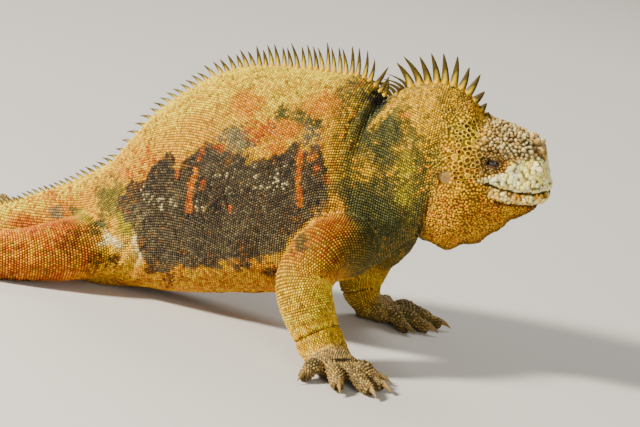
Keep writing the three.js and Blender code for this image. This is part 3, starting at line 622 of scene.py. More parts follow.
def neck_markings(g, colour):
    """Olive shoulder and neck run over with gold, dark round the nape's fold."""
    fade = 0.2 * (1 - step(110, 150, g.z))
    neck = g.mottled(
        g.flat("olive"), ("moss", 1, 0.5, 0.9, g.small), ("lime", 0.5, 0.2, 0.8, g.large),
        ("gold", 0.85, 0.36 - fade, 0.8, g.runs),
        ("orange", 0.8, 0.08 + 0.5 * (g.small - 0.5), 0.9, g.runs), ("umber", 0.6, 0, 1, g.fine))
    neck = lay(neck, g.flat("moss"), 0.45 * (1 - step(112, 150, g.z)))
    neck = g.blotched(neck, NECK_BLOTCHES)
    for start, end in zip(GOLD_STREAK[:-1], GOLD_STREAK[1:]):
        near = streak(g.s + 4 * (g.fine - 0.5), g.z, start, end, 4.0)
        neck = lay(neck, g.flat("gold"), near * g.dither(0.8))
    edge = g.s + 16 * (g.small - 0.5) + 0.22 * (g.z - 120)
    return lay(colour, neck, step(184, 202, edge))


def head_markings(g, colour):
    """Golden jowl and cheek, pale crown, brown lids, salted snout, painted shade under the jowl,
    and painted shade in the mouth line and chin crease.
    """
    gold, orange, umber, salt = (g.flat(n) for n in ("gold", "orange", "umber", "salt"))
    cream, beige, lime = (g.flat(n) for n in ("cream", "beige", "lime"))
    s, z = g.s, g.z
    jowl = g.mottled(
        lay(orange, umber, 0.2), ("orange", 1, 0.6, 1.2, g.small),
        ("gold", 0.85, 0.66, 0.9, g.fine), ("umber", 0.5, -0.04, 1.2, g.small))
    jowl = lay(jowl, g.flat("salmon"), 0.25)
    # Painted shade along the underside of the jowl.
    jowl = lay(jowl, umber, 0.7 * (1 - step(1, 9, z - under_of(s) + 6 * (g.small - 0.5))))
    jowl = lay(jowl, g.flat("moss"), 0.6 * (1 - step(252, 268, s + 10 * (g.small - 0.5))))
    head = step(252, 264, s + 14 * (g.small - 0.5))
    colour = lay(colour, jowl, head * (1 - 0.85 * step(176, 196, z) * (1 - step(266, 282, s))))
    cheek = np.exp(-((s - 281) / 13) ** 2 - ((z - 170) / 19) ** 2) * g.side
    plate = g.mottled(lay(gold, cream, 0.4), ("orange", 0.6, 0.3, 0.9, g.small))
    colour = lay(colour, plate, 1.4 * cheek)
    temple = np.exp(-((s - 277) / 12) ** 2 - ((z - 190) / 9) ** 2)
    colour = lay(colour, lay(lime, cream, 0.3 + 0.5 * g.dither(0.5)), 1.1 * temple)
    crown = step(280, 292, s + 6 * (g.small - 0.5)) * step(172, 180, z + 6 * (g.small - 0.5))
    top = lay(0.8 * salt, beige, 0.3 + 0.7 * g.dither(0.5 + 1.4 * (g.fine - 0.5)))
    top = g.mottled(top, ("umber", 0.75, -0.085, 1.7, g.fine))
    top = lay(top, gold, 0.5 * (1 - step(282, 302, s)))
    colour = lay(colour, top, crown)
    around = np.exp(-(((s - EYE_S + 2) / 12) ** 2) - ((z - EYE_Z + 1) / 10) ** 2) * g.side
    lids = lay(beige, umber, 0.3 + 0.45 * g.dither(0.45 + 1.2 * (g.fine - 0.5)))
    colour = lay(colour, lids, 1.15 * around)
    over = SALT_EDGE(s) - z + 5 * (g.small - 0.5) + 4 * (g.fine - 0.5)
    crust = step(289, 296, s + 5 * (g.small - 0.5)) * step(-1.5, 1.5, over)
    crust = crust * step(-1.4, 0.4, z - mouth_of(s))
    crust = np.maximum(crust, step(338, 344, s) * step(152, 157, z) * (1 - step(178, 184, z)))
    salted = g.mottled(salt, ("cream", 0.6, 0.3, 0.9, g.fine),
                       ("gold", 0.5 * step(160, 166, z), -0.084, 1.4, g.small))
    colour = lay(colour, salted, crust)
    under = mouth_of(s) - z
    lip = step(297, 306, s + 4 * (g.small - 0.5)) * step(0.4, 2, under)
    lip = lip * (1 - step(8, 10.5, under + 3 * (g.fine - 0.5)))
    lip = lip * (1 - 0.8 * step(312, 322, s) * (1 - step(3, 6, under)) * g.dither(0.75))
    colour = lay(colour, lay(salt, gold, 0.25 + 0.5 * g.dither(0.4)), 0.95 * lip)
    # Painted shade in the mouth line and in the chin crease.
    line = np.where((s > 297) & (s < 350), bump(z, mouth_of(s) - 0.4, 1.0), 0)
    chin = np.where((s > 306) & (s < 342), bump(z, mouth_of(s) - 11, 1.2), 0)
    return lay(colour, g.flat("soot"), 0.95 * line + 0.7 * chin)


def limb_markings(g, colour, limb, share):
    """Golden forearms, red thighs, and hands and feet of ash and beige."""
    orange, cream, umber = (g.flat(n) for n in ("orange", "cream", "umber"))
    share = share + 0.07 * (g.small - 0.5)
    hand = lay(g.flat("ash"), g.flat("beige"), 0.3 + 0.7 * g.dither(0.6 + 1.0 * (g.fine - 0.5)))
    hand = g.mottled(hand, ("umber", 0.55, 0.15, 1.2, g.small))
    for i, name in enumerate(LIMBS):
        on = limb == i
        if not on.any():
            continue
        if name.startswith("fore"):
            upper = g.mottled(orange, ("red", 1, 0.45, 1.6, g.small),
                              ("gold", 1, 0.25, 1.4, g.fine))
            upper = lay(upper, g.flat("olive"), 0.9 * step(205, 222, g.s + 10 * (g.small - 0.5)))
            forearm = g.mottled(g.flat("gold"), ("cream", 0.9, 0.66, 1, g.fine),
                                ("orange", 0.6, 0.3, 1.2, g.small))
            forearm = lay(forearm, orange, 0.6 * step(212, 226, g.s) * (1 - step(0.6, 0.75, share)))
            hide = lay(upper, forearm, step(0.32, 0.5, share))
            spot = np.hypot((g.s - 186) / 8, (g.z - 92) / 7) + 1.2 * (g.fine - 0.5)
            hide = lay(hide, g.flat("moss"), 0.8 * g.dither(1.2 * (1 - step(0.3, 1.2, spot))))
            hide = lay(hide, hand, step(0.78, 0.92, share))
            # Painted shade over the far (left) foreleg.
            if name.endswith("left"):
                hide = lay(hide, g.flat("olive"), 0.35)
            join = step(0.1, 0.2, share)
        else:
            hide = 1.35 * g.mottled(orange, ("red", 1, 0.66, 1.4, g.small),
                                    ("gold", 0.7, 0.16, 1.5, g.fine))
            base = 1 - step(-70, -52, g.s + 8 * (g.small - 0.5))
            hide = lay(hide, cream, 0.8 * base * g.dither(0.6))
            dark = np.hypot((g.s + 3) / 9, (g.z - 38) / 12) + 1.2 * (g.fine - 0.5)
            hide = lay(hide, umber, 0.55 * g.dither(1.1 * (1 - step(0.3, 1.2, dark))))
            hide = g.mottled(hide, ("umber", 0.5, 0.004, 1.6, g.small))
            hide = lay(hide, hand, step(0.74, 0.9, share))
            join = step(0.08, 0.2, share)
        hide = lay(hide, umber, 0.5 * (1 - step(2, 11, g.z)))
        colour = lay(colour, hide, np.where(on, join, 0))
    return colour


def markings(points, limb, share, hues):
    """Colours of the hide at points in mm. limb numbers each point's limb, or is -1 on the body,
    and share is how far down that limb it lies."""
    g = Ground(points, hues)
    colour = trunk_markings(g)
    colour = tail_markings(g, colour)
    colour = neck_markings(g, colour)
    colour = head_markings(g, colour)
    colour = limb_markings(g, colour, limb, share)
    return np.clip(colour * (0.84 + 0.32 * g.speck[:, None]), 0, 1)


# Relief of the skin

# Folds of the neck: station at the nape, depth, reach and slope.
NECK_FOLDS = [
    (207, 2.2, 3.4, -0.1), (200, 1.2, 2.6, -0.16), (217, 1.2, 3, 0.04), (229, 0.8, 3, 0.1),
]


def relief(points, limb, share):
    """Folds and creases, in mm along the skin's normal."""
    s, y, z = unplace(points)
    wander = 7 * (noise(points, 30, 71) - 0.5)
    out = np.zeros(len(points))
    body = limb < 0
    neck_side = step(130, 178, z) * body
    for at, depth, reach, lean in NECK_FOLDS:
        out -= depth * bump(s + wander, at + lean * (205 - z), reach) * neck_side
    out -= 2.4 * bump(s + 0.5 * wander, 253 + 0.1 * (z - 95), 3) * (1 - step(120, 150, z)) * body
    ridge = np.sin((s * 0.8 - z * 0.5 + 1.4 * wander) / 1.9)
    out += 1.2 * ridge * bump(s, 40, 16) * bump(z, 40, 20) * body
    pit = np.sin((s * 0.9 + z * 0.35 + 1.5 * wander) / 2.1)
    out += 1.0 * pit * bump(s, 200, 10) * bump(z, 110, 12) * body
    flank = np.sin((s + 0.15 * z + 2.2 * wander) / 4.2)
    out += 0.35 * flank * step(30, 60, s) * (1 - step(180, 200, s)) * bump(z, 80, 45) * body
    line = np.where((s > 296) & (s < 352), bump(z, mouth_of(s), 1.5), 0)
    out -= 2.6 * line * body
    lips = np.where((s > 300) & (s < 348), bump(z, mouth_of(s) + 5, 3.2), 0)
    lips += np.where((s > 302) & (s < 346), bump(z, mouth_of(s) - 5, 3.0), 0)
    out += 0.9 * lips * body
    chin = np.where((s > 306) & (s < 342), bump(z, mouth_of(s) - 11, 1.6), 0)
    out -= 1.8 * chin * body
    rows = np.hypot((s - EYE_S) / 1.35, z - EYE_Z + 0.4)
    wrinkle = np.cos((rows - 5.2) * 2.4) * step(3.6, 5, rows) * (1 - step(7.5, 11, rows))
    out += 0.55 * wrinkle * step(10, 16, np.abs(y)) * body
    brow = bump(z, 178.5 - 0.012 * (s - 298) ** 2, 1.4) * bump(s, 298, 11)
    out -= 1.1 * brow * step(10, 16, np.abs(y)) * body
    out += 1.2 * (noise(points, 9, 83) - 0.5)
    head = step(262, 285, s) * body
    out += head * (1.3 * (noise(points, 6, 87) - 0.5) + 0.9 * (noise(points, 3, 89) - 0.5))
    for i, name in enumerate(LIMBS):
        wrist = 0.735 if name.startswith("fore") else 0.72
        out -= np.where(limb == i, 1.5 * bump(share, wrist + 0.02 * (wander / 7), 0.011), 0)
        elbow = 0.4 if name.startswith("fore") else 0.36
        crease = 0.7 * bump(share, elbow, 0.012) + 0.5 * bump(share, elbow + 0.045, 0.01)
        out -= np.where(limb == i, crease, 0)
    return out


# Meshes


def grid_faces(rows, columns):
    """Quads between the rows of a grid whose columns close into rings."""
    i = np.arange(rows - 1)[:, None] * columns
    j = np.arange(columns)[None, :]
    k = (j + 1) % columns
    return np.stack([i + j, i + k, i + columns + k, i + columns + j], -1).reshape(-1, 4)


def tipped_faces(rows, sides, count):
    """Triangles of count shapes alike, each of rows rings of points closed by a tip."""
    each = rows * sides + 1
    j = np.arange(sides)
    k = (j + 1) % sides
    shape = []
    for i in range(rows - 1):
        a, b = i * sides + j, i * sides + k
        shape += [np.stack([a, b, b + sides], 1), np.stack([a, b + sides, a + sides], 1)]
    last = (rows - 1) * sides
    shape.append(np.stack([last + j, last + k, np.full(sides, each - 1)], 1))
    return ((np.arange(count) * each)[:, None, None] + np.vstack(shape)[None]).reshape(-1, 3)


def halves(quads):
    """Each quad as two triangles."""
    return np.vstack([quads[:, [0, 1, 2]], quads[:, [0, 2, 3]]])


def closed_tube(rings):
    """Points and triangles of a closed surface through rings, fanned at both ends, facing out."""
    rows, columns, _ = rings.shape
    points = np.vstack([rings.reshape(-1, 3), rings[0].mean(0), rings[-1].mean(0)])
    j = np.arange(columns)
    k = (j + 1) % columns
    end = (rows - 1) * columns
    caps = [np.stack([k, j, np.full(columns, rows * columns)], 1),
            np.stack([end + j, end + k, np.full(columns, rows * columns + 1)], 1)]
    triangles = np.vstack([halves(grid_faces(rows, columns)), *caps])
    a, b, c = (points[triangles[:, i]] for i in range(3))
    volume = np.einsum("ij,ij->i", a, np.cross(b, c)).sum()
    return points, triangles if volume > 0 else triangles[:, ::-1]


def joined(surfaces):
    """Several (points, triangles) as one."""
    points, triangles, first = [], [], 0
    for p, t in surfaces:
        points.append(p)
        triangles.append(t + first)
        first += len(p)
    return np.vstack(points), np.vstack(triangles)


def mesh_object(name, points, faces, colours=None, slot=None, finish=None, uvs=None):
    """An object from points in mm and faces of one length, with its markings and unwrap."""
    mesh = bpy.data.meshes.new(name)
    sides = faces.shape[1]
    points = np.column_stack([points[:, :2], np.maximum(points[:, 2], FLOOR_GAP)])
    mesh.vertices.add(len(points))
    mesh.vertices.foreach_set("co", metres(points).astype(np.float32).ravel())
    mesh.loops.add(faces.size)
    mesh.loops.foreach_set("vertex_index", faces.astype(np.int32).ravel())
    mesh.polygons.add(len(faces))
    mesh.polygons.foreach_set("loop_start", np.arange(0, faces.size, sides, dtype=np.int32))
    mesh.polygons.foreach_set("use_smooth", np.full(len(faces), True))
    mesh.update(calc_edges=True)
    mesh.validate()
    if colours is not None:
        layer = mesh.color_attributes.new("markings", "FLOAT_COLOR", "POINT")
        rgba = np.ones((len(points), 4), np.float32)
        rgba[:, :3] = np.clip(colours, 0, 1)
        layer.data.foreach_set("color", rgba.ravel())
    if uvs is not None:
        layer = mesh.uv_layers.new(name="OFBake")
        layer.data.foreach_set("uv", uvs[faces.ravel()].astype(np.float32).ravel())
    obj = bpy.data.objects.new(name, mesh)
    bpy.context.scene.collection.objects.link(obj)
    if finish is not None:
        mesh.materials.append(finishes()[finish])
    if slot is not None:
        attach(obj, BODY)
    return obj


def ball_surface(at, radius, around=32, rows=20):
    polar = np.linspace(0.02, math.pi - 0.02, rows)[:, None]
    turn = turns(around)[None, :]
    shape = np.stack(np.broadcast_arrays(
        np.sin(polar) * np.cos(turn), np.sin(polar) * np.sin(turn), np.cos(polar)), -1)
    return closed_tube(shape * radius + np.asarray(at))


# The skin's own surfaces, before they are fused


def body_surface(stations, sides=96):
    phi = turns(sides)
    rings = skin_point(stations[:, None], phi[None, :])
    rings[..., 2] = np.maximum(rings[..., 2], 0)
    return closed_tube(rings)


def tube_surface(tube, rows=44, sides=36):
    t = np.linspace(0, 1, rows)
    angle = turns(sides)
    rings = tube.point(t[:, None], angle[None, :])
    rings[..., 2] = np.maximum(rings[..., 2], 0)
    return closed_tube(rings)


def tree(points, triangles):
    return BVHTree.FromPolygons(points.tolist(), triangles.tolist())


def nearest(search, points):
    """Nearest point, normal and distance on a tree for each point."""
    found = np.empty((len(points), 7))
    for i, p in enumerate(points.tolist()):
        at, normal, _, far = search.find_nearest(p)
        found[i, :3] = at
        found[i, 3:6] = normal
        found[i, 6] = far
    return found[:, :3], found[:, 3:6], found[:, 6]


class Hide:
    """Search tree of the fused skin, for the pieces that grow from it."""

    search = None


def vertex_normals(points, quads):
    """Unit normals of the points, from the quads round each."""
    a, b, c, d = (points[quads[:, i]] for i in range(4))
    n = np.cross(c - a, d - b)
    total = np.zeros_like(points)
    for i in range(4):
        for axis in range(3):
            total[:, axis] += np.bincount(quads[:, i], n[:, axis], len(points))
    length = np.linalg.norm(total, axis=1, keepdims=True)
    return total / np.where(length == 0, 1, length)


def smoothed(points, quads, weight, rounds):
    """Points eased towards the middle of their neighbours."""
    a = np.concatenate([quads[:, i] for i in range(4)])
    b = np.concatenate([quads[:, (i + 1) % 4] for i in range(4)])
    count = np.bincount(a, minlength=len(points)) + np.bincount(b, minlength=len(points))
    count = np.maximum(count, 1)[:, None]
    for _ in range(rounds):
        total = np.zeros_like(points)
        for axis in range(3):
            total[:, axis] = np.bincount(a, points[b, axis], len(points))
            total[:, axis] += np.bincount(b, points[a, axis], len(points))
        points = points + (total / count - points) * weight[:, None]
    return points


def fused_skin(voxel):
    """Body, limbs, lids and nostril rims as one even skin of quads, in mm."""
    snout = along(0.96)
    stations = np.concatenate([np.arange(-TAIL, snout, 2.5), np.linspace(snout, TRUNK, 24)])
    parts = [body_surface(stations)]
    for name, tube in TUBES.items():
        parts.append(tube_surface(tube, 44 if name in LIMBS else 26))
    for side in (1, -1):
        parts.append(ball_surface(EYE_AT[side], EYE_RADIUS + LID))
        out = side_at(NOSTRIL_S, NOSTRIL_Z) - 2
        parts.append(ball_surface(place(float(NOSTRIL_S), side * out, NOSTRIL_Z), NOSTRIL_RIM))
    points, triangles = joined(parts)
    source = mesh_object("skin_source", points, triangles)
    remesh = source.modifiers.new("fuse", "REMESH")
    remesh.mode = "VOXEL"
    remesh.voxel_size = voxel * MM
    graph = bpy.context.evaluated_depsgraph_get()
    made = bpy.data.meshes.new_from_object(source.evaluated_get(graph))
    count = len(made.vertices)
    flat = np.empty(count * 3, np.float32)
    made.vertices.foreach_get("co", flat)
    quads = np.empty(len(made.loops), np.int32)
    made.loops.foreach_get("vertex_index", quads)
    bpy.data.objects.remove(source)
    bpy.data.meshes.remove(made)
    return flat.reshape(-1, 3) / MM - ORIGIN, quads.reshape(-1, 4)


def limb_of(name):
    """Number of the limb that a limb, palm or digit belongs to."""
    return next(i for i, key in enumerate(LIMBS) if name.startswith(key))


def span_of(name):
    """Share of its limb at which a limb, palm or digit starts and ends."""
    return (0.84, 1.02) if name.endswith("palm") else (1.0, 1.2) if "digit" in name else (0.0, 1.0)


def limb_places(points):
    """Which limb each point lies on, -1 for the body, and its share down the limb."""
    limb = np.full(len(points), -1)
    share = np.zeros(len(points))
    gap = np.full(len(points), np.inf)
    t = np.linspace(0, 1, 60)
    for name, tube in TUBES.items():
        line = tube.middle(t)
        low, high = line.min(0) - 32, line.max(0) + 32
        near = np.where(((points > low) & (points < high)).all(1))[0]
        if len(near) == 0:
            continue
        far = np.linalg.norm(points[near, None, :] - line[None], axis=2)
        best = far.argmin(1)
        girth = np.maximum(tube.across(t[best]), tube.thick(t[best]))
        room = far[np.arange(len(near)), best] - girth
        closer = room < gap[near]
        pick = near[closer]
        first, last = span_of(name)
        gap[pick] = room[closer]
        limb[pick] = limb_of(name)
        share[pick] = first + (last - first) * t[best[closer]]
    s, y, z = unplace(points)
    middle = under_of(s) + widest_of(s) * (top_of(s) - under_of(s))
    reach = np.where(z > middle, top_of(s) - middle, middle - under_of(s))
    power = np.where(z > middle, round_over(s), round_under(s))
    level = np.clip(np.abs(z - middle) / np.maximum(reach, 1), 0, 1)
    half = width_of(s) * (1 - level ** power) ** (1 / power)
    body_gap = np.where((s > -TAIL) & (s < TRUNK), np.abs(y) - half, 99)
    on_body = (gap > 6) | (body_gap < gap)
    limb[on_body] = -1
    blend = np.exp(-((np.abs(gap) + np.abs(body_gap)) / 13) ** 2)
    return limb, np.where(on_body, 0, share), np.where(np.isfinite(gap), blend, 0)


# Materials


def node_material(name):
    material = bpy.data.materials.new(name)
    material.use_nodes = True
    return material, material.node_tree, material.node_tree.nodes["Principled BSDF"]


def pigment(name, grain, detail, noise_range, tone_range):
    """A material coloured by the markings, lighter and darker by fine noise."""
    _, graph, shader = node_material(name)
    nodes, links = graph.nodes, graph.links
    marks = nodes.new("ShaderNodeAttribute")
    marks.attribute_name = "markings"
    coords = nodes.new("ShaderNodeTexCoord")
    spots = nodes.new("ShaderNodeTexNoise")
    spots.inputs["Scale"].default_value = grain
    spots.inputs["Detail"].default_value = detail
    shift = nodes.new("ShaderNodeMapRange")
    for ends, (low, high) in (("From", noise_range), ("To", tone_range)):
        shift.inputs[f"{ends} Min"].default_value = low
        shift.inputs[f"{ends} Max"].default_value = high
    tone = nodes.new("ShaderNodeVectorMath")
    tone.operation = "SCALE"
    links.new(coords.outputs["Object"], spots.inputs["Vector"])
    links.new(spots.outputs["Fac"], shift.inputs["Value"])
    links.new(marks.outputs["Color"], tone.inputs[0])
    links.new(shift.outputs["Result"], tone.inputs["Scale"])
    links.new(tone.outputs["Vector"], shader.inputs["Base Color"])
    return nodes, links, shader, coords, spots


def hide_material(name, grain, depth, rough):
    """Pigment with a granular bump and uneven gloss."""
    nodes, links, shader, coords, spots = pigment(name, grain * 1.7, 4, (0.25, 0.75), (0.7, 1.25))
    cells = nodes.new("ShaderNodeTexVoronoi")
    cells.inputs["Scale"].default_value = grain
    grains = nodes.new("ShaderNodeBump")
    grains.inputs["Strength"].default_value = depth
    grains.inputs["Distance"].default_value = 0.0006
    gloss = nodes.new("ShaderNodeMapRange")
    gloss.inputs["To Min"].default_value = rough - 0.14
    gloss.inputs["To Max"].default_value = rough + 0.1
    links.new(coords.outputs["Object"], cells.inputs["Vector"])
    links.new(cells.outputs["Distance"], grains.inputs["Height"])
    links.new(grains.outputs["Normal"], shader.inputs["Normal"])
    links.new(spots.outputs["Fac"], gloss.inputs["Value"])
    links.new(gloss.outputs["Result"], shader.inputs["Roughness"])
    shader.inputs["Specular IOR Level"].default_value = 0.14


def eye_material():
    """A wet brown iris round a dark pupil, from the eyeball's own markings."""
    _, _, shader, _, _ = pigment("eyeball", 1600, 2, (0, 1), (0.6, 1.3))
    shader.inputs["Roughness"].default_value = 0.08
    shader.inputs["Coat Weight"].default_value = 0.5
    shader.inputs["Coat Roughness"].default_value = 0.03


HIDES = [  # finish, grain, depth of its bump and roughness
    ("skin", 900, 0.5, 0.72), ("scales", 1500, 0.25, 0.5), ("knobs", 1100, 0.6, 0.78),
    ("spines", 500, 0.15, 0.42), ("claws", 420, 0.2, 0.4), ("lids", 1300, 0.5, 0.6),
    ("drum", 800, 0.3, 0.5),
]


def finishes():
    """The materials, made once and then shared."""
    made = bpy.data.materials
    if "eyeball" not in made:
        for name, grain, depth, rough in HIDES:
            hide_material(name, grain, depth, rough)
        eye_material()
    return made


# Scales


def scale_frames(normal, lie):
    """Across and ahead directions on the skin for each scale, ahead along the lie."""
    ahead = lie - normal * (lie * normal).sum(1, keepdims=True)
    length = np.linalg.norm(ahead, axis=1, keepdims=True)
    ahead = np.where(length > 1e-6, ahead / np.where(length == 0, 1, length), [[1.0, 0, 0]])
    return np.cross(normal, ahead), ahead


def domes(at, normal, lie, radius, height, lean, sides, rings, seed, turn=0.0, rough=0.16):
    """Scales as low domes: rings of points at (share of radius, share of height), then a tip.
    Gives points, triangles and each point's level from 0 at the foot to 1 at the tip."""
    across, ahead = scale_frames(normal, lie)
    rng = np.random.default_rng(seed)
    count = len(at)
    angle = 2 * math.pi * np.arange(sides) / sides
    angle = angle[None, :] + (turn if np.isscalar(turn) else turn[:, None])
    wobble = 1 + rough * (rng.random((count, sides)) - 0.5)
    lean = np.broadcast_to(lean, count)
    sway = rng.random(count) - 0.5
    points, level = [], []
    for out, up in rings:
        r = radius[:, None] * out * wobble
        p = at[:, None, :] + across[:, None, :] * (r * np.cos(angle))[..., None]
        p = p + ahead[:, None, :] * (r * np.sin(angle) * 1.08)[..., None]
        p = p + normal[:, None, :] * (height * up)[:, None, None]
        p = p - ahead[:, None, :] * (lean * height * max(up, 0))[:, None, None]
        p = p + across[:, None, :] * (rough * 0.5 * sway * height * max(up, 0))[:, None, None]
        points.append(p)
        level.append(np.full((count, sides), max(up, 0)))
    tip = at + normal * height[:, None] - ahead * (lean * height)[:, None]
    points.append(tip[:, None, :])
    level.append(np.ones((count, 1)))
    points = np.concatenate(points, 1)
    faces = tipped_faces(len(rings), sides, count)
    return points.reshape(-1, 3), faces, np.concatenate(level, 1).ravel(), points.shape[1]


PATCH = 0.0015  # half a scale's patch on the unwrap


def patch_uvs(centre, sides, rings):
    """Each scale's patch at its root's place on the unwrap."""
    angle = 2 * math.pi * np.arange(sides) / sides
    offsets = [np.stack([np.cos(angle), np.sin(angle)], 1) * PATCH * out for out, _ in rings]
    offsets = np.vstack(offsets + [np.zeros((1, 2))])
    return (centre[:, None, :] + offsets[None]).reshape(-1, 2)


class Sites:
    """Where scales grow: place, lie, size, place on the unwrap, limb and share of the limb."""

    def __init__(self):
        self.rows = []

    def add(self, at, lie, size, uv, limb, share):
        size, limb, share = (np.broadcast_to(x, len(at)) for x in (size, limb, share))
        self.rows.append((at, lie, size, uv, limb, share))

    def done(self):
        return tuple(np.concatenate(x) for x in zip(*self.rows))


def ring_sites(surface, along_value, pitch, stagger, fine=240):
    """Evenly spaced angles round one ring of a surface."""
    angle = np.linspace(0, 2 * math.pi, fine + 1)
    p = surface(along_value, angle)
    run = np.concatenate([[0], np.cumsum(np.linalg.norm(np.diff(p, axis=0), axis=1))])
    count = max(5, int(round(run[-1] / pitch)))
    return np.interp((np.arange(count) + 0.5 * stagger) / count * run[-1], run, angle)


BODY_BAND = 0.62  # the body's share of the unwrap's height, the limbs' rows lie above it


def body_uv(s, phi):
    """Place on the unwrap of a scale of the body."""
    u = 0.01 + 0.98 * (s + TAIL) / (TAIL + TRUNK)
    return np.stack([u, 0.005 + (BODY_BAND - 0.01) * (phi % (2 * math.pi)) / (2 * math.pi)], 1)


def tube_uv(index, t, angle):
    """Place on the unwrap of a scale of a limb, palm or digit."""
    row, column = divmod(index, 7)
    u = (column + 0.05 + 0.9 * t) / 7
    turn = (angle % (2 * math.pi)) / (2 * math.pi)
    v = BODY_BAND + (row + 0.05 + 0.9 * turn) * (1 - BODY_BAND) / 4
    return np.stack([u, v], 1)


def pitch_at(s, sizes):
    """Scale spacing along the body in mm: coarser on the tail."""
    return sizes.trunk_pitch + (sizes.tail_pitch - sizes.trunk_pitch) * (1 - step(-140, -20, s))


def rows_on_body(sizes, last):
    """Scales in staggered rows over the tail, trunk and neck."""
    sites = Sites()
    s, row = -TAIL + 2.0, 0
    while s < last:
        pitch = float(pitch_at(np.array(s), sizes))

        def ring(value, angle):
            return skin_point(np.full(angle.shape, value), angle)

        phi = ring_sites(ring, s, pitch, row % 2)
        here = np.full(phi.shape, s)
        at = skin_point(here, phi)
        lie = skin_point(here + 0.5, phi) - skin_point(here - 0.5, phi)
        sites.add(at, lie, pitch, body_uv(here, phi), -1, 0.0)
        slope = np.linalg.norm(lie, axis=1).mean()
        s += pitch * ROW_SPACING / max(1.0, slope)
        row += 1
    return sites


def rows_on_tubes(sizes):
    """Scales in staggered rows over the limbs, palms and digits."""
    sites = Sites()
    for index, (name, tube) in enumerate(TUBES.items()):
        pitch = sizes.limb_pitch if name in LIMBS else sizes.hand_pitch
        rows = max(4, int(tube.length / (pitch * ROW_SPACING)))
        first, last = span_of(name)
        for row in range(rows):
            t = (row + 0.5) / rows

            def ring(value, angle):
                return tube.point(np.full(angle.shape, value), angle)

            angle = ring_sites(ring, t, pitch, row % 2, 120)
            here = np.full(angle.shape, t)
            at = tube.point(here, angle)
            lie = tube.point(here - 0.01, angle) - tube.point(here + 0.01, angle)
            share = first + (last - first) * t
            sites.add(at, lie, pitch, tube_uv(index, here, angle), limb_of(name), share)
    return sites


def grid_key(points, cell):
    """One number for the cubic cell that each point lies in."""
    k = np.floor(points / cell).astype(np.int64)
    return k[:, 0] * 73856093 ^ k[:, 1] * 19349663 ^ k[:, 2] * 83492791


def settled(at, lie, size, uv, limb, share, snap):
    """Sites brought onto the fused skin, without those buried in it or doubled at a joint."""
    found, normal, far = nearest(Hide.search, at)
    keep = (far < snap) & (found[:, 2] >= BARE_BELOW)
    loose = keep & (far > 0.9)
    doubtful = np.where(loose)[0]
    cell = float(size.mean()) * 0.8
    taken = set(grid_key(found[keep & ~loose], cell).tolist())
    for i, key in zip(doubtful, grid_key(found[doubtful], cell).tolist()):
        if key in taken:
            keep[i] = False
        taken.add(key)
    pick = np.where(keep)[0]
    return tuple(x[pick] for x in (found, normal, lie, size, uv, limb, share))


def coat_pieces(name, points, faces, colours, uvs, finish, slot, each, per_scale):
    """The scales as meshes that each stay under the limit of triangles."""
    limit = PIECE_LIMIT // per_scale
    scales = len(points) // each
    made = []
    for part, first in enumerate(range(0, scales, limit)):
        last = min(first + limit, scales)
        rows = slice(first * each, last * each)
        chosen = faces[first * per_scale:last * per_scale] - first * each
        made.append(mesh_object(f"{name}_{part + 1}", points[rows], chosen, colours[rows], slot,
                                finish, uvs[rows]))
    return made


def dressed(name, placed, height_share, lean, sides, rings, seed, finish, slot, hues, contrast=0.8,
            core=None, rough=0.16, spread=0.6, uneven=0.5):
    """One set of scales on settled sites, coloured by the markings. contrast sets the painted shade
    at the foot and the painted highlight at the tip of each scale, and core darkens the tip."""
    at, normal, lie, size, uv, limb, share = placed
    rng = np.random.default_rng(seed)
    vary = rng.random(len(at))
    radius = size * spread * (0.92 + 0.16 * vary)
    height = size * height_share * (0.75 + 0.5 * rng.random(len(at)))
    turn = rng.random(len(at)) * 0.5
    points, faces, level, each = domes(at, normal, lie, radius, height, lean, sides, rings,
                                       seed + 1, turn, rough)
    ink = markings(at, limb, share, hues)
    tone = 1 + uneven * (rng.random(len(at)) - 0.5)
    ink = np.repeat(ink * tone[:, None], each, axis=0)
    contrast = np.repeat(np.broadcast_to(contrast, len(at)), each)
    # Painted shade at each scale's foot and a painted highlight at its tip.
    ink *= (1 - contrast + (contrast + 0.4) * level ** 1.8)[:, None]
    if core is not None:
        inner = np.tile(step(1.5, 2.8, np.arange(each) // sides), len(at))
        ink *= 1 - (np.repeat(core, each) * inner)[:, None] * [0.97, 1.0, 1.0]
    uvs = patch_uvs(uv, sides, rings)
    per_scale = len(faces) // len(at)
    return coat_pieces(name, points, faces, ink, uvs, finish, slot, each, per_scale)


# Head scales of many sizes
HEAD_PACKING = 0.86  # least distance of two neighbours, as a share of their mean size


def cheek_at(s, z):
    """1 amid the big plates of the cheek."""
    return np.minimum(1, 1.5 * np.exp(-((s - 281) / 13) ** 2 - ((z - 171) / 17) ** 2))


def temple_at(s, z):
    """1 amid the plates behind the eye."""
    return np.minimum(1, 1.5 * np.exp(-((s - 278) / 11) ** 2 - ((z - 190) / 8) ** 2))


def crown_at(s, z):
    """1 where the crown's knobs stand."""
    return step(280, 292, s) * step(174, 181, z)


def salted_at(s, z):
    """1 on the crusted sides of the snout and the upper lip."""
    return step(293, 301, s) * step(-2, 2, SALT_EDGE(s) - z) * step(-1, 1, z - mouth_of(s))


def head_spacing(s, z):
    """Spacing of the head's scales in mm by station and height."""
    spacing = 1.7 + 0.2 * step(262, 285, s) + 0.5 * step(280, 300, s) * step(150, 165, z)
    spacing = spacing + (4.4 - spacing) * cheek_at(s, z)
    spacing = spacing + (3.8 - spacing) * temple_at(s, z)
    spacing = spacing + (2.9 - spacing) * crown_at(s, z)
    spacing = spacing + 1.9 * step(320, 328, s) * step(178, 183, z)
    spacing = spacing + (3.5 - spacing) * salted_at(s, z)
    lip = step(298, 304, s) * bump(z, mouth_of(s) - 4, 4.5)
    spacing = spacing + (2.7 - spacing) * np.minimum(1, lip)
    lids = np.exp(-((s - EYE_S) / 9) ** 2 - ((z - EYE_Z) / 6) ** 2)
    return spacing - (spacing - 1.3) * np.minimum(1, 1.5 * lids)


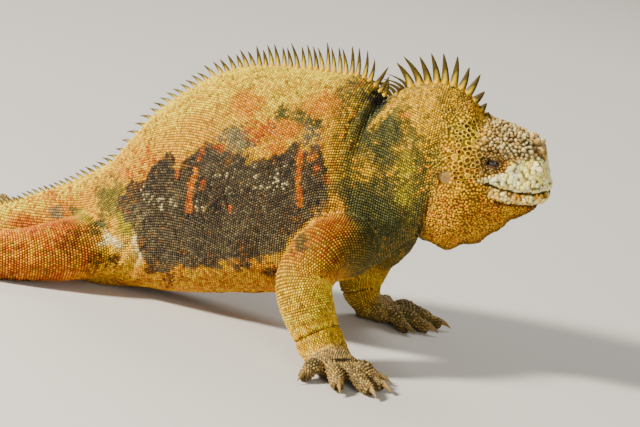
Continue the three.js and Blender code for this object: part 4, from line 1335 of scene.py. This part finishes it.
def on_head(s, at):
    """Whether a place lies on the head's side of the wandering line where its scales begin."""
    return s > HEAD_FROM + 12 * (noise(at, 9, 131) - 0.5)


def head_sites(first, seed):
    """Scattered sites over the head, each as far from the others as its size asks."""
    rng = np.random.default_rng(seed)
    tries = 110000
    s = first + (TRUNK - 0.2 - first) * rng.random(tries)
    phi = 2 * math.pi * rng.random(tries)
    at = skin_point(s, phi)
    e = 0.6
    du = skin_point(np.minimum(s + e, TRUNK), phi) - skin_point(s - e, phi)
    dv = skin_point(s, phi + 0.02) - skin_point(s, phi - 0.02)
    area = np.linalg.norm(np.cross(du, dv), axis=1)
    chosen = rng.random(tries) < np.minimum(1, area / np.percentile(area, 97))
    s, phi, at = s[chosen], phi[chosen], at[chosen]
    size = head_spacing(s, at[:, 2]) * (0.84 + 0.36 * rng.random(len(s)))
    mouth = np.abs(at[:, 2] - mouth_of(s)) < 1.1
    keep = ~(mouth & (s > 297)) & on_head(s, at)
    s, phi, at, size = s[keep], phi[keep], at[keep], size[keep]
    cell = 4.6
    grid, taken = {}, []
    places, reach = at.tolist(), size.tolist()
    around = [(dx, dy, dz) for dx in (-1, 0, 1) for dy in (-1, 0, 1) for dz in (-1, 0, 1)]

    def crowded(i, key):
        x, y, z = places[i]
        for dx, dy, dz in around:
            for j in grid.get((key[0] + dx, key[1] + dy, key[2] + dz), ()):
                u, v, w = places[j]
                gap = 0.5 * (reach[i] + reach[j]) * HEAD_PACKING
                if (x - u) ** 2 + (y - v) ** 2 + (z - w) ** 2 < gap * gap:
                    return True
        return False

    for i, (x, y, z) in enumerate(places):
        key = (int(x // cell), int(y // cell), int(z // cell))
        if not crowded(i, key):
            grid.setdefault(key, []).append(i)
            taken.append(i)
    taken = np.array(taken)
    ahead = np.minimum(s[taken] + 0.5, TRUNK)
    lie = skin_point(ahead, phi[taken]) - skin_point(s[taken] - 0.5, phi[taken])
    return s[taken], phi[taken], at[taken], lie, size[taken]


# Sizes and colours that a user would change


def length(name, text, value, low, high):
    return bpy.props.FloatProperty(
        name=name, description=f"{text}, in mm", default=value, min=low, max=high)


class IguanaSizes(bpy.types.PropertyGroup):
    voxel: length("Skin fineness", "Size of the skin's faces", 1.4, 0.8, 4)
    trunk_pitch: length("Trunk scales", "Spacing of the scales on the trunk", 2.15, 1.2, 6)
    tail_pitch: length("Tail scales", "Spacing of the scales on the tail", 2.9, 1.5, 8)
    limb_pitch: length("Limb scales", "Spacing of the scales on the limbs", 2.1, 1.2, 6)
    hand_pitch: length("Hand scales", "Spacing of the scales on hands and feet", 2.4, 1.2, 6)
    scale_height: bpy.props.FloatProperty(
        name="Scale height", description="Height of a body scale as a share of its spacing",
        default=0.42, min=0.1, max=1, subtype="FACTOR")
    spine_spacing: length("Crest spacing", "Spacing of the spines on the back", 5.0, 3, 12)


def hue(name, text, value):
    return bpy.props.FloatVectorProperty(
        name=name, description=text, default=value, size=3, min=0, max=1, subtype="COLOR_GAMMA")


class IguanaColours(bpy.types.PropertyGroup):
    cream: hue("Cream", "Ridge of the back", (0.97, 0.83, 0.13))
    gold: hue("Gold", "Back, forearm and cheeks", (0.88, 0.66, 0.06))
    orange: hue("Orange", "Mottling of the sides", (0.83, 0.5, 0.03))
    salmon: hue("Salmon", "Paler mottling over the patch", (0.86, 0.6, 0.1))
    red: hue("Red", "Thighs, shoulders and streaks", (0.74, 0.34, 0.02))
    # Olive also paints the shade over the far foreleg.
    olive: hue("Olive", "Neck and shoulder", (0.47, 0.41, 0.14))
    lime: hue("Lime", "Yellow-green of groin and neck", (0.64, 0.58, 0.12))
    moss: hue("Moss", "Grey-green of the nape's fold", (0.31, 0.32, 0.17))
    charcoal: hue("Charcoal", "Flank patch", (0.3, 0.25, 0.18))
    # Soot also paints the shade in the mouth line and the chin crease.
    soot: hue("Soot", "Darkest marks and creases", (0.11, 0.095, 0.08))
    ash: hue("Ash", "Grey mottling", (0.48, 0.44, 0.3))
    salt: hue("Salt", "Dried salt on the snout", (1.0, 0.93, 0.66))
    beige: hue("Beige", "Crown and hands", (0.74, 0.6, 0.34))
    # Umber also paints the shade under the jowl and inside the nostrils.
    umber: hue("Umber", "Dark brown marks", (0.2, 0.13, 0.08))


def settings():
    return bpy.context.scene.iguana_sizes, bpy.context.scene.iguana_colours


# Pieces


class SkinOperator(bpy.types.Operator):
    """Fuses the body and limbs into one seamless skin with its folds"""

    bl_idname = "iguana.skin"
    bl_label = "Skin"

    def execute(self, context):
        sizes, hues = settings()
        points, quads = fused_skin(sizes.voxel)
        limb, share, blend = limb_places(points)
        points = smoothed(points, quads, np.full(len(points), 0.5), 3)
        points = smoothed(points, quads, np.minimum(0.6, blend * 1.4), 24)
        normals = vertex_normals(points, quads)
        lift = relief(points, limb, share)
        lift = lift + self.around_eyes(points) + self.around_ears(points)
        lift = np.where(points[:, 2] < FLAT_BELOW, 0, lift)
        points = points + normals * lift[:, None]
        points[:, 2] = np.maximum(points[:, 2], SKIN_GAP)
        points = smoothed(points, quads, np.full(len(points), 0.3), 1)
        # Painted shade: the skin is darkened to about a quarter of its markings, so the gaps
        # between the scales look shaded.
        colours = markings(points, limb, share, hues) * 0.24
        made = mesh_object("skin", points, quads, colours, "hide", "skin")
        fleshy = [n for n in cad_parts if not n.startswith(("eye_", "ear_"))]
        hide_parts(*fleshy)
        Hide.search = tree(points, halves(quads))
        return {"FINISHED"}

    @staticmethod
    def around_eyes(points):
        """The skin sinks behind the eyeball inside the gap of the lids."""
        s, y, z = unplace(points)
        dx, dz = s - EYE_S, z - EYE_Z
        gap = LID_HIGH * (1 - (2 * dx / LID_LONG) ** 2)
        open_ = (np.abs(dx) < LID_LONG / 2) & (dz < gap * 0.62) & (dz > -gap * 0.5)
        return np.where(open_ & (np.abs(y) > 15), -4.5, 0)

    @staticmethod
    def around_ears(points):
        """The skin sinks into a cup with a raised rim."""
        s, y, z = unplace(points)
        far = np.hypot(s - EAR_S, z - EAR_Z)
        cup = 1 - step(EAR_CUP * 0.6, EAR_CUP, far)
        rim = bump(far, EAR_CUP + 1.6, 1.6)
        return np.where(np.abs(y) > 15, 0.7 * rim - EAR_DEPTH * 1.3 * cup, 0)


class CoatOperator(bpy.types.Operator):
    """Grows the small scales of the tail, trunk, neck and limbs"""

    bl_idname = "iguana.coat"
    bl_label = "Body scales"

    def execute(self, context):
        sizes, hues = settings()
        sites = rows_on_body(sizes, HEAD_FROM + 7).done()
        stations = unplace(sites[0])[0]
        trunk = ~on_head(stations, sites[0])
        body = settled(*(x[trunk] for x in sites), 4.0)
        rings = [(1.0, -0.5), (0.62, 0.62)]
        made = dressed("body_scales", body, sizes.scale_height, 0.5, 5, rings, 101, "scales",
                       "hide", hues, spread=0.57, uneven=0.85)
        limbs = settled(*rows_on_tubes(sizes).done(), 3.0)
        made += dressed("limb_scales", limbs, sizes.scale_height, 0.4, 5, rings, 201, "scales",
                        "limb_hide", hues, spread=0.57, uneven=0.85)
        for piece in made:
            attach(piece, BODY)
        return {"FINISHED"}


class HeadOperator(bpy.types.Operator):
    """Scatters the plates, knobs and granules of the head"""

    bl_idname = "iguana.head"
    bl_label = "Head scales"

    def execute(self, context):
        _, hues = settings()
        s, phi, at, lie, size = head_sites(HEAD_FROM - 7, 7)
        placed = settled(at, lie, size, body_uv(s, phi), np.full(len(s), -1), np.zeros(len(s)), 4.0)
        s, _, z = unplace(placed[0])
        eye = np.hypot((s - EYE_S) / 1.25, z - EYE_Z)
        ear = np.hypot(s - EAR_S, z - EAR_Z)
        clear = (eye > 3.4) & (ear > EAR_CUP * 0.9)
        crown = (crown_at(s, z) > 0.5) & clear
        salted = (salted_at(s, z) > 0.5) & clear & ~crown
        bare = clear & ~crown & ~salted
        lip = (s > 302) & (np.abs(z - mouth_of(s) + 4.5) < 4.2) & bare
        plates = ((cheek_at(s, z) > 0.45) | (temple_at(s, z) > 0.45)) & bare
        rest = bare & ~(lip | plates)
        rng = np.random.default_rng(311)

        def of(which):
            return tuple(x[which] for x in placed)

        low = [(1.0, -0.4), (0.78, 0.45), (0.45, 0.86)]
        # The number after hues sets the painted shade at each scale's foot and the painted
        # highlight at its tip.
        dressed("head_pebbles", of(rest), 0.34, 0.15, 7, low, 301, "knobs", "head_hide", hues, 0.6)
        many = plates.sum()
        core = np.where(rng.random(many) < 0.9, 0.88 + 0.1 * rng.random(many), 0.5)
        flat = [(1.0, -0.2), (0.88, 0.7), (0.74, 0.95), (0.56, 0.8)]
        dressed("cheek_plates", of(plates), 0.2, 0.1, 8, flat, 303, "knobs", "head_hide", hues,
                0.12, core, 0.4, 0.62)
        crust = [(1.06, -0.3), (0.9, 0.5), (0.55, 0.9)]
        dressed("snout_plates", of(salted), 0.24, 0.2, 7, crust, 305, "knobs", "head_hide", hues,
                0.4, None, 0.8, 0.7)
        dressed("lip_plates", of(lip), 0.26, 0.1, 7, crust, 307, "knobs", "head_hide", hues, 0.3,
                None, 0.6, 0.66)
        self.knobs(of(crown), hues)
        return {"FINISHED"}

    @staticmethod
    def knobs(placed, hues):
        """Rough blunt cones on the crown, biggest over the snout."""
        at, normal, lie, size, uv, limb, share = placed
        rng = np.random.default_rng(331)
        s, _, z = unplace(at)
        tall = 0.75 + 0.35 * step(306, 330, s) * step(180, 186, z)
        height = size * (0.5 + 0.75 * rng.random(len(at)) ** 1.4) * tall
        radius = size * (0.42 + 0.26 * rng.random(len(at)))
        rings = [(1.0, -0.35), (0.96, 0.25), (0.78, 0.62), (0.42, 0.92)]
        lean = 0.7 * (rng.random(len(at)) - 0.6)
        points, faces, level, each = domes(at, normal, lie, radius, height, lean, 7, rings, 332,
                                           0.0, 0.6)
        ink = markings(at, limb, share, hues) * (0.75 + 0.45 * rng.random(len(at)))[:, None]
        # Painted shade at each knob's foot and a painted highlight at its tip.
        ink = np.repeat(ink, each, axis=0) * (0.26 + 0.9 * level)[:, None]
        uvs = patch_uvs(uv, 7, rings)
        coat_pieces("crown_knobs", points, faces, ink, uvs, "knobs", "head_hide", each,
                    len(faces) // len(at))


CREST = [
    (-1, 1.5), (-0.6, 4), (-0.3, 5.5), (-0.1, 6.5), (0.06, 8), (0.17, 10), (0.27, 14.5),
    (0.36, 18), (0.5, 21), (0.57, 18), (0.605, 11), (0.63, 23), (0.73, 23), (0.77, 18),
    (0.8, 10), (0.83, 4),
]
crest_of = curve_through(CREST, along, 1)

# Spines of the tail and back, before the nape, on the nape and on the neck.
SPINE_WIDE = np.array([4.2, 4.2, 3.2, 6.6])
SPINE_THICK = np.array([2.5, 2.3, 1.8, 3.4])
SPINE_LEAN = np.array([0.1, 0.06, 0.75, 0.06])
SPINE_LEAN_VARIES = np.array([0.2, 0.16, 0.3, 0.2])
SPINE_DARK_FROM = np.array([0.22, 0.0, -0.5, 0.1])
NAPE_TUFT = 2


class CrestOperator(bpy.types.Operator):
    """Sets the spines of the crest from the head to the tail's tip"""

    bl_idname = "iguana.crest"
    bl_label = "Crest"

    def execute(self, context):
        sizes, hues = settings()
        rng = np.random.default_rng(17)
        nape, last = float(along(0.604)), float(along(0.83))
        stations, kinds = [], []
        s = -TAIL + 8.0
        while s < last:
            kind = 0 if s < nape - 14 else 1 if s < nape - 1 else 2 if s < nape + 13 else 3
            stations.append(s)
            kinds.append(kind)
            spacing = (sizes.spine_spacing, 4.2, 2.9, 6.3)[kind]
            spacing = 6.5 if s < -150 else 4.3 if s < 60 else spacing
            s += spacing * (0.9 + 0.2 * rng.random())
        stations, kinds = np.array(stations), np.array(kinds)
        count = len(stations)
        height = crest_of(stations) * (0.84 + 0.3 * rng.random(count))
        height = np.where(kinds == NAPE_TUFT, 14 + 4 * rng.random(count), height)
        wide = SPINE_WIDE[kinds] + 1.2 * (1 - step(-180, -90, stations))
        wide = wide - 0.7 * (1 - step(40, 90, stations))
        lean = SPINE_LEAN[kinds] + SPINE_LEAN_VARIES[kinds] * rng.random(count)
        lean = lean + 0.45 * (1 - step(30, 100, stations))
        lean = lean + 0.2 * ((kinds == 3) & (stations < nape + 22))
        sway = (rng.random(count) - 0.5) * 0.16
        points, faces, level, edge = self.blades(stations, height, wide, SPINE_THICK[kinds],
                                                 lean, sway)
        each = len(level) // count
        ivory, dark = gamma(hues.cream) * [0.85, 0.85, 1.4], gamma(hues.umber) * 0.4
        gold = gamma(hues.gold)
        start = SPINE_DARK_FROM[kinds] + 0.24 * (rng.random(count) - 0.5)
        start = np.repeat(start, each)
        tip = step(start, start + 0.4, level + 0.42 * edge * (level > 0.08))
        base = gold + (ivory - gold) * step(0.02, 0.22, level)[:, None]
        ink = base + (dark - base) * (0.94 * tip)[:, None]
        mesh_object("crest_spines", points, faces, ink, "hide", "spines")
        self.beads(stations[kinds != NAPE_TUFT], hues)
        return {"FINISHED"}

    @staticmethod
    def beads(stations, hues):
        """A row of pale beads along each side of the spines' roots."""
        rng = np.random.default_rng(43)
        for side, name in SIDES:
            near = np.minimum(2.7, 0.3 * width_of(stations))
            lift = 0.2 + 0.1 * rng.random(len(stations))
            at = place(stations, side * near, top_of(stations) - lift)
            lie = place(stations + 1, side * near, top_of(stations + 1)) - at
            up = unit(np.cross(lie, np.cross([0, 0, 1.0], lie)))
            size = (1.1 + 0.5 * rng.random(len(stations))) * np.where(stations < -150, 0.8, 1.0)
            rings = [(1.0, -0.5), (0.86, 0.45), (0.5, 0.88)]
            points, faces, level, each = domes(at, up, lie, size, size * 1.25, 0.2, 7, rings, 44)
            tone = (0.7 + 0.4 * rng.random(len(stations)))[:, None]
            # Painted shade towards each bead's foot.
            ink = np.repeat(gamma(hues.cream) * tone, each, axis=0) * (0.5 + 0.55 * level)[:, None]
            mesh_object(f"crest_beads_{name}", points, faces, ink, "hide", "spines")

    @staticmethod
    def blades(stations, height, length, thick, lean, sway):
        """Flattened, back-curved blades as triangles, with each point's level and edge."""
        levels = np.array([-0.2, 0.0, 0.16, 0.34, 0.52, 0.7, 0.86, 0.96])
        shape = np.array([1.1, 1.06, 0.96, 0.84, 0.7, 0.52, 0.31, 0.14])
        sides = 8
        angle = 2 * math.pi * np.arange(sides) / sides
        rise = (top_of(stations + 5) - top_of(stations - 5)) / 10
        a = heading_of(stations)
        ahead = unit(np.stack([np.cos(a), np.sin(a), rise], 1))
        side = np.stack([-np.sin(a), np.cos(a), np.zeros(len(a))], 1)
        up = np.cross(ahead, side)
        base = place(stations, 0.0, top_of(stations))
        rings = []
        for lv, sh in zip(levels, shape):
            back = lean * height * max(lv, 0) ** 1.8
            middle = base + up * (lv * height)[:, None] - ahead * back[:, None]
            middle = middle + side * (sway * height * max(lv, 0))[:, None]
            out = ahead[:, None] * (np.cos(angle)[None] * (sh * length / 2)[:, None])[..., None]
            pinch = np.sin(angle) * (0.55 + 0.45 * np.abs(np.sin(angle)))
            out = out + side[:, None] * (pinch[None] * (sh * thick / 2)[:, None])[..., None]
            rings.append(middle[:, None] + out)
        tip = base + up * height[:, None] - ahead * (lean * height)[:, None]
        tip = tip + side * (sway * height)[:, None]
        points = np.concatenate(rings + [tip[:, None]], 1).reshape(-1, 3)
        count = len(stations)
        level = np.concatenate([np.repeat(np.maximum(levels, 0), sides), [1.0]])
        edge = np.concatenate([np.tile(np.abs(np.cos(angle)), len(levels)), [1.0]])
        faces = tipped_faces(len(levels), sides, count)
        return points, faces, np.tile(level, count), np.tile(edge, count)


class EyesOperator(bpy.types.Operator):
    """Makes the eyeballs and the rims of the lids"""

    bl_idname = "iguana.eyes"
    bl_label = "Eyes"

    def execute(self, context):
        _, hues = settings()
        for side, name in SIDES:
            self.eyeball(side, name, hues)
            self.rims(side, name, hues)
        return {"FINISHED"}

    @staticmethod
    def eyeball(side, name, hues):
        """A ball whose pole looks out, with pupil and iris in its markings."""
        outward_axis = place(float(EYE_S), side * 1.0, 0.0) - place(float(EYE_S), 0.0, 0.0)
        ahead = place(EYE_S + 1.0, 0.0, 0.0) - place(float(EYE_S), 0.0, 0.0)
        look = unit(outward_axis + 0.25 * ahead)
        level = np.array([0, 0, 1.0])
        across = np.cross(level, look)
        polar = np.linspace(0.001, math.pi - 0.001, 48)
        turn = turns(48)
        c, t = np.meshgrid(polar, turn, indexing="ij")
        bulge = 1 + 0.06 * np.exp(-(c / 0.42) ** 2)
        direction = (np.cos(c)[..., None] * look + (np.sin(c) * np.cos(t))[..., None] * across
                     + (np.sin(c) * np.sin(t))[..., None] * level)
        rings = EYE_AT[side] + direction * (EYE_RADIUS * bulge)[..., None]
        points, triangles = closed_tube(rings)
        flat = np.concatenate([c.ravel(), [0, math.pi]])
        iris, dark = gamma(hues.umber) * 0.9, gamma(hues.umber) * 0.03
        rim = gamma(hues.umber) * 0.35
        ink = np.where((flat < 0.3)[:, None], dark, iris)
        ink = np.where((flat > 0.72)[:, None], rim, ink)
        made = mesh_object(f"eyeball_{name}", points, triangles, ink, "eye", "eyeball")
        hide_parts(f"eye_{name}")

    @staticmethod
    def rims(side, name, hues):
        """Two thick lid edges that meet at the corners of the eye."""
        surfaces, ink = [], []
        for sign, high in ((1, 0.62), (-1, 0.5)):
            for row, (reach, size) in enumerate(((0.0, 0.5), (0.95, 0.62), (2.0, 0.75))):
                x = np.linspace(-1, 1, 40)
                dx = x * (LID_LONG / 2 + reach * 0.75)
                dz = sign * (LID_HIGH * high * (1 - x * x) + reach * (1 - 0.55 * x ** 4))
                radius = EYE_RADIUS + 0.55 - 0.1 * row
                out = np.sqrt(np.maximum(radius ** 2 - dx ** 2 - dz ** 2, 4.0))
                middle = place(EYE_S + dx, side * (EYE_OUT + out), EYE_Z + dz)
                angle = turns(10)
                ahead = unit(np.gradient(middle, axis=0))
                outer = middle - EYE_AT[side]
                outer = unit(outer - ahead * (outer * ahead).sum(1, keepdims=True))
                other = np.cross(ahead, outer)
                beads = 1 + 0.16 * np.sin(x * (26 - 3 * row) + row)
                r = (size * beads * (1 - 0.55 * x ** 6))[:, None, None]
                ring = (middle[:, None] + r * (np.cos(angle)[None, :, None] * outer[:, None]
                                               + np.sin(angle)[None, :, None] * other[:, None]))
                surfaces.append(closed_tube(ring))
                base = gamma(hues.umber) * (0.8, 2.6, 3.4)[row]
                base = base + gamma(hues.beige) * (0.0, 0.12, 0.3)[row]
                ink.append(np.broadcast_to(base, surfaces[-1][0].shape))
        points, triangles = joined(surfaces)
        mesh_object(f"lids_{name}", points, triangles, np.vstack(ink), "head_hide", "lids")


class EarsOperator(bpy.types.Operator):
    """Makes the ear drums and the nostrils' pits, painted dark as the shade inside them"""

    bl_idname = "iguana.ears"
    bl_label = "Ears and nostrils"

    def execute(self, context):
        _, hues = settings()
        for side, name in SIDES:
            out = side_at(EAR_S, EAR_Z) - EAR_DEPTH
            made = self.disc(f"ear_drum_{name}", EAR_S, EAR_Z, out, EAR_CUP * 0.98, 0.8, side,
                             gamma(hues.beige) * 0.35, gamma(hues.beige) * 0.75, "ear_drum", "drum")
            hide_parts(f"ear_{name}")
            # The nostril's hollow is painted near-black as the shade inside the opening.
            out = side_at(NOSTRIL_S, NOSTRIL_Z) + 1.5
            self.disc(f"nostril_{name}", NOSTRIL_S + 1.4, NOSTRIL_Z + 0.6, out, 1.7, -0.9, side,
                      gamma(hues.umber) * 0.08, gamma(hues.umber) * 0.3, "head_hide", "lids")
        return {"FINISHED"}

    @staticmethod
    def disc(name, s, z, out, radius, dome, side, inner, outer, slot, finish):
        """A small domed or hollow disc that faces out of the head."""
        rings = []
        shares = np.linspace(0.02, 1, 9)
        angle = turns(24)
        for share, sunk in [(x, 0) for x in shares] + [(x, 1.2) for x in shares[::-1]]:
            lift = dome * (1 - share ** 2) - sunk
            rings.append(place(s + radius * share * np.cos(angle), side * (out + lift),
                               z + radius * share * np.sin(angle)))
        points, triangles = closed_tube(np.array(rings))
        weight = np.concatenate([np.repeat(shares, 24), np.repeat(shares[::-1], 24), [0, 0]])
        ink = inner + (outer - inner) * weight[:, None]
        return mesh_object(name, points, triangles, ink, slot, finish)


class ClawsOperator(bpy.types.Operator):
    """Sets a curved claw at the end of each digit"""

    bl_idname = "iguana.claws"
    bl_label = "Claws"

    def execute(self, context):
        _, hues = settings()
        surfaces, ink = [], []
        rng = np.random.default_rng(29)
        for root, heading, length, radius in CLAWS:
            ahead, side = headed(heading), left_of(headed(heading))
            t = np.linspace(0, 1, 16)
            rise = 1.7 * np.sin(t * math.pi * 0.62) * (1 - 0.2 * t)
            drop = (root[2] - 0.5) * t ** 2.4
            middle = root + ahead * (t * length - 2.4)[:, None]
            middle[:, 2] = root[2] + rise - drop + 0.3
            size = radius * (0.66 * (1 - t) ** 0.75 + 0.03)
            middle[:, 2] = np.maximum(middle[:, 2], size * 0.9 + 0.15)
            angle = turns(14)
            ring = (middle[:, None]
                    + side * (0.62 * np.cos(angle)[None, :] * size[:, None])[..., None]
                    + np.array([0, 0, 1]) * (np.sin(angle)[None, :] * size[:, None])[..., None])
            surfaces.append(closed_tube(ring))
            shade = 0.85 + 0.3 * rng.random()
            horn = gamma(hues.beige) * 0.62 * shade
            root_ink = gamma(hues.umber) * 1.6
            w = np.concatenate([np.repeat(step(0.0, 0.45, t), 14), [0, 1]])[:, None]
            ink.append(root_ink + (horn - root_ink) * w)
        points, triangles = joined(surfaces)
        mesh_object("claws", points, triangles, np.vstack(ink), "limb_hide", "claws")
        return {"FINISHED"}


# The photograph's view: where the camera stands and which way is up in its picture.
CAMERA_AT = (867.71, -2789.89, 706.11)
VIEW_TURN, VIEW_DOWN, VIEW_ROLL = 14.0, 12.0, 11.0
SENSOR = 36.0
LENS = 210.9


class StageOperator(bpy.types.Operator):
    """Lays the pale floor and sets the lights and the camera"""

    bl_idname = "iguana.stage"
    bl_label = "Stage"

    def execute(self, context):
        self.floor()
        self.world(context)
        self.lights()
        self.camera(context)
        return {"FINISHED"}

    @staticmethod
    def floor():
        mesh = bpy.data.meshes.new("floor")
        reach = 12.0
        corners = [(x * reach, y * reach, 0) for x, y in ((-1, -1), (1, -1), (1, 1), (-1, 1))]
        mesh.from_pydata(corners, [], [(0, 1, 2, 3)])
        obj = bpy.data.objects.new("floor", mesh)
        bpy.context.scene.collection.objects.link(obj)
        material, _, shader = node_material("pale_floor")
        shader.inputs["Base Color"].default_value = (0.66, 0.64, 0.6, 1)
        shader.inputs["Roughness"].default_value = 0.85
        mesh.materials.append(material)

    @staticmethod
    def world(context):
        world = bpy.data.worlds.new("studio")
        world.use_nodes = True
        back = world.node_tree.nodes["Background"]
        back.inputs["Color"].default_value = (1.0, 0.98, 0.94, 1)
        back.inputs["Strength"].default_value = 0.24
        context.scene.world = world

    @staticmethod
    def lights():
        for name, at, size, power, colour in (
            ("key", (-1.75, -1.65, 1.65), 0.4, 255, (1.0, 0.94, 0.8)),
            ("fill", (1.5, -2.1, 0.9), 1.4, 24, (1.0, 0.97, 0.9)),
            ("back", (0.2, 1.9, 1.8), 1.2, 32, (1.0, 0.97, 0.9)),
        ):
            light = bpy.data.lights.new(name, "AREA")
            light.size = size
            light.energy = power
            light.color = colour
            obj = bpy.data.objects.new(name, light)
            obj.location = at
            aim = Vector((0.15, 0, 0.1)) - Vector(at)
            obj.rotation_euler = aim.to_track_quat("-Z", "Y").to_euler()
            bpy.context.scene.collection.objects.link(obj)

    @staticmethod
    def camera(context):
        turn, down, roll = (math.radians(a) for a in (VIEW_TURN, VIEW_DOWN, VIEW_ROLL))
        level = Vector((math.cos(turn), math.sin(turn), 0))
        flat = math.cos(down)
        back = Vector((math.sin(turn) * flat, -math.cos(turn) * flat, math.sin(down)))
        upright = back.cross(level)
        right = level * math.cos(roll) + upright * math.sin(roll)
        up = upright * math.cos(roll) - level * math.sin(roll)
        camera = bpy.data.cameras.new("camera")
        camera.sensor_width = SENSOR
        camera.lens = LENS
        camera.clip_end = 50
        obj = bpy.data.objects.new("camera", camera)
        at = Vector(metres(np.array(CAMERA_AT)))
        obj.matrix_world = Matrix((
            (right.x, up.x, back.x, at.x), (right.y, up.y, back.y, at.y),
            (right.z, up.z, back.z, at.z), (0, 0, 0, 1)))
        context.scene.collection.objects.link(obj)
        context.scene.camera = obj


class IguanaPanel(bpy.types.Panel):
    """Lists the pieces and what can be changed"""

    bl_idname = "VIEW3D_PT_iguana"
    bl_label = "Marine Iguana"
    bl_space_type = "VIEW_3D"
    bl_region_type = "UI"
    bl_category = "Iguana"

    def draw(self, context):
        layout = self.layout
        for group in (context.scene.iguana_sizes, context.scene.iguana_colours):
            box = layout.box()
            for key in group.__annotations__:
                box.prop(group, key)
        for operator in OPERATORS:
            layout.operator(operator.bl_idname)


OPERATORS = (
    SkinOperator, CoatOperator, HeadOperator, CrestOperator, EyesOperator, EarsOperator,
    ClawsOperator, StageOperator,
)
CLASSES = (IguanaSizes, IguanaColours, *OPERATORS, IguanaPanel)


def register():
    for cls in CLASSES:
        bpy.utils.register_class(cls)
    bpy.types.Scene.iguana_sizes = bpy.props.PointerProperty(type=IguanaSizes)
    bpy.types.Scene.iguana_colours = bpy.props.PointerProperty(type=IguanaColours)


def unregister():
    del bpy.types.Scene.iguana_colours
    del bpy.types.Scene.iguana_sizes
    for cls in reversed(CLASSES):
        bpy.utils.unregister_class(cls)


def main():
    register()
    bpy.ops.iguana.stage()
    bpy.ops.iguana.skin()
    bpy.ops.iguana.coat()
    bpy.ops.iguana.head()
    bpy.ops.iguana.crest()
    bpy.ops.iguana.eyes()
    bpy.ops.iguana.ears()
    bpy.ops.iguana.claws()


if __name__ == "__main__":
    main()
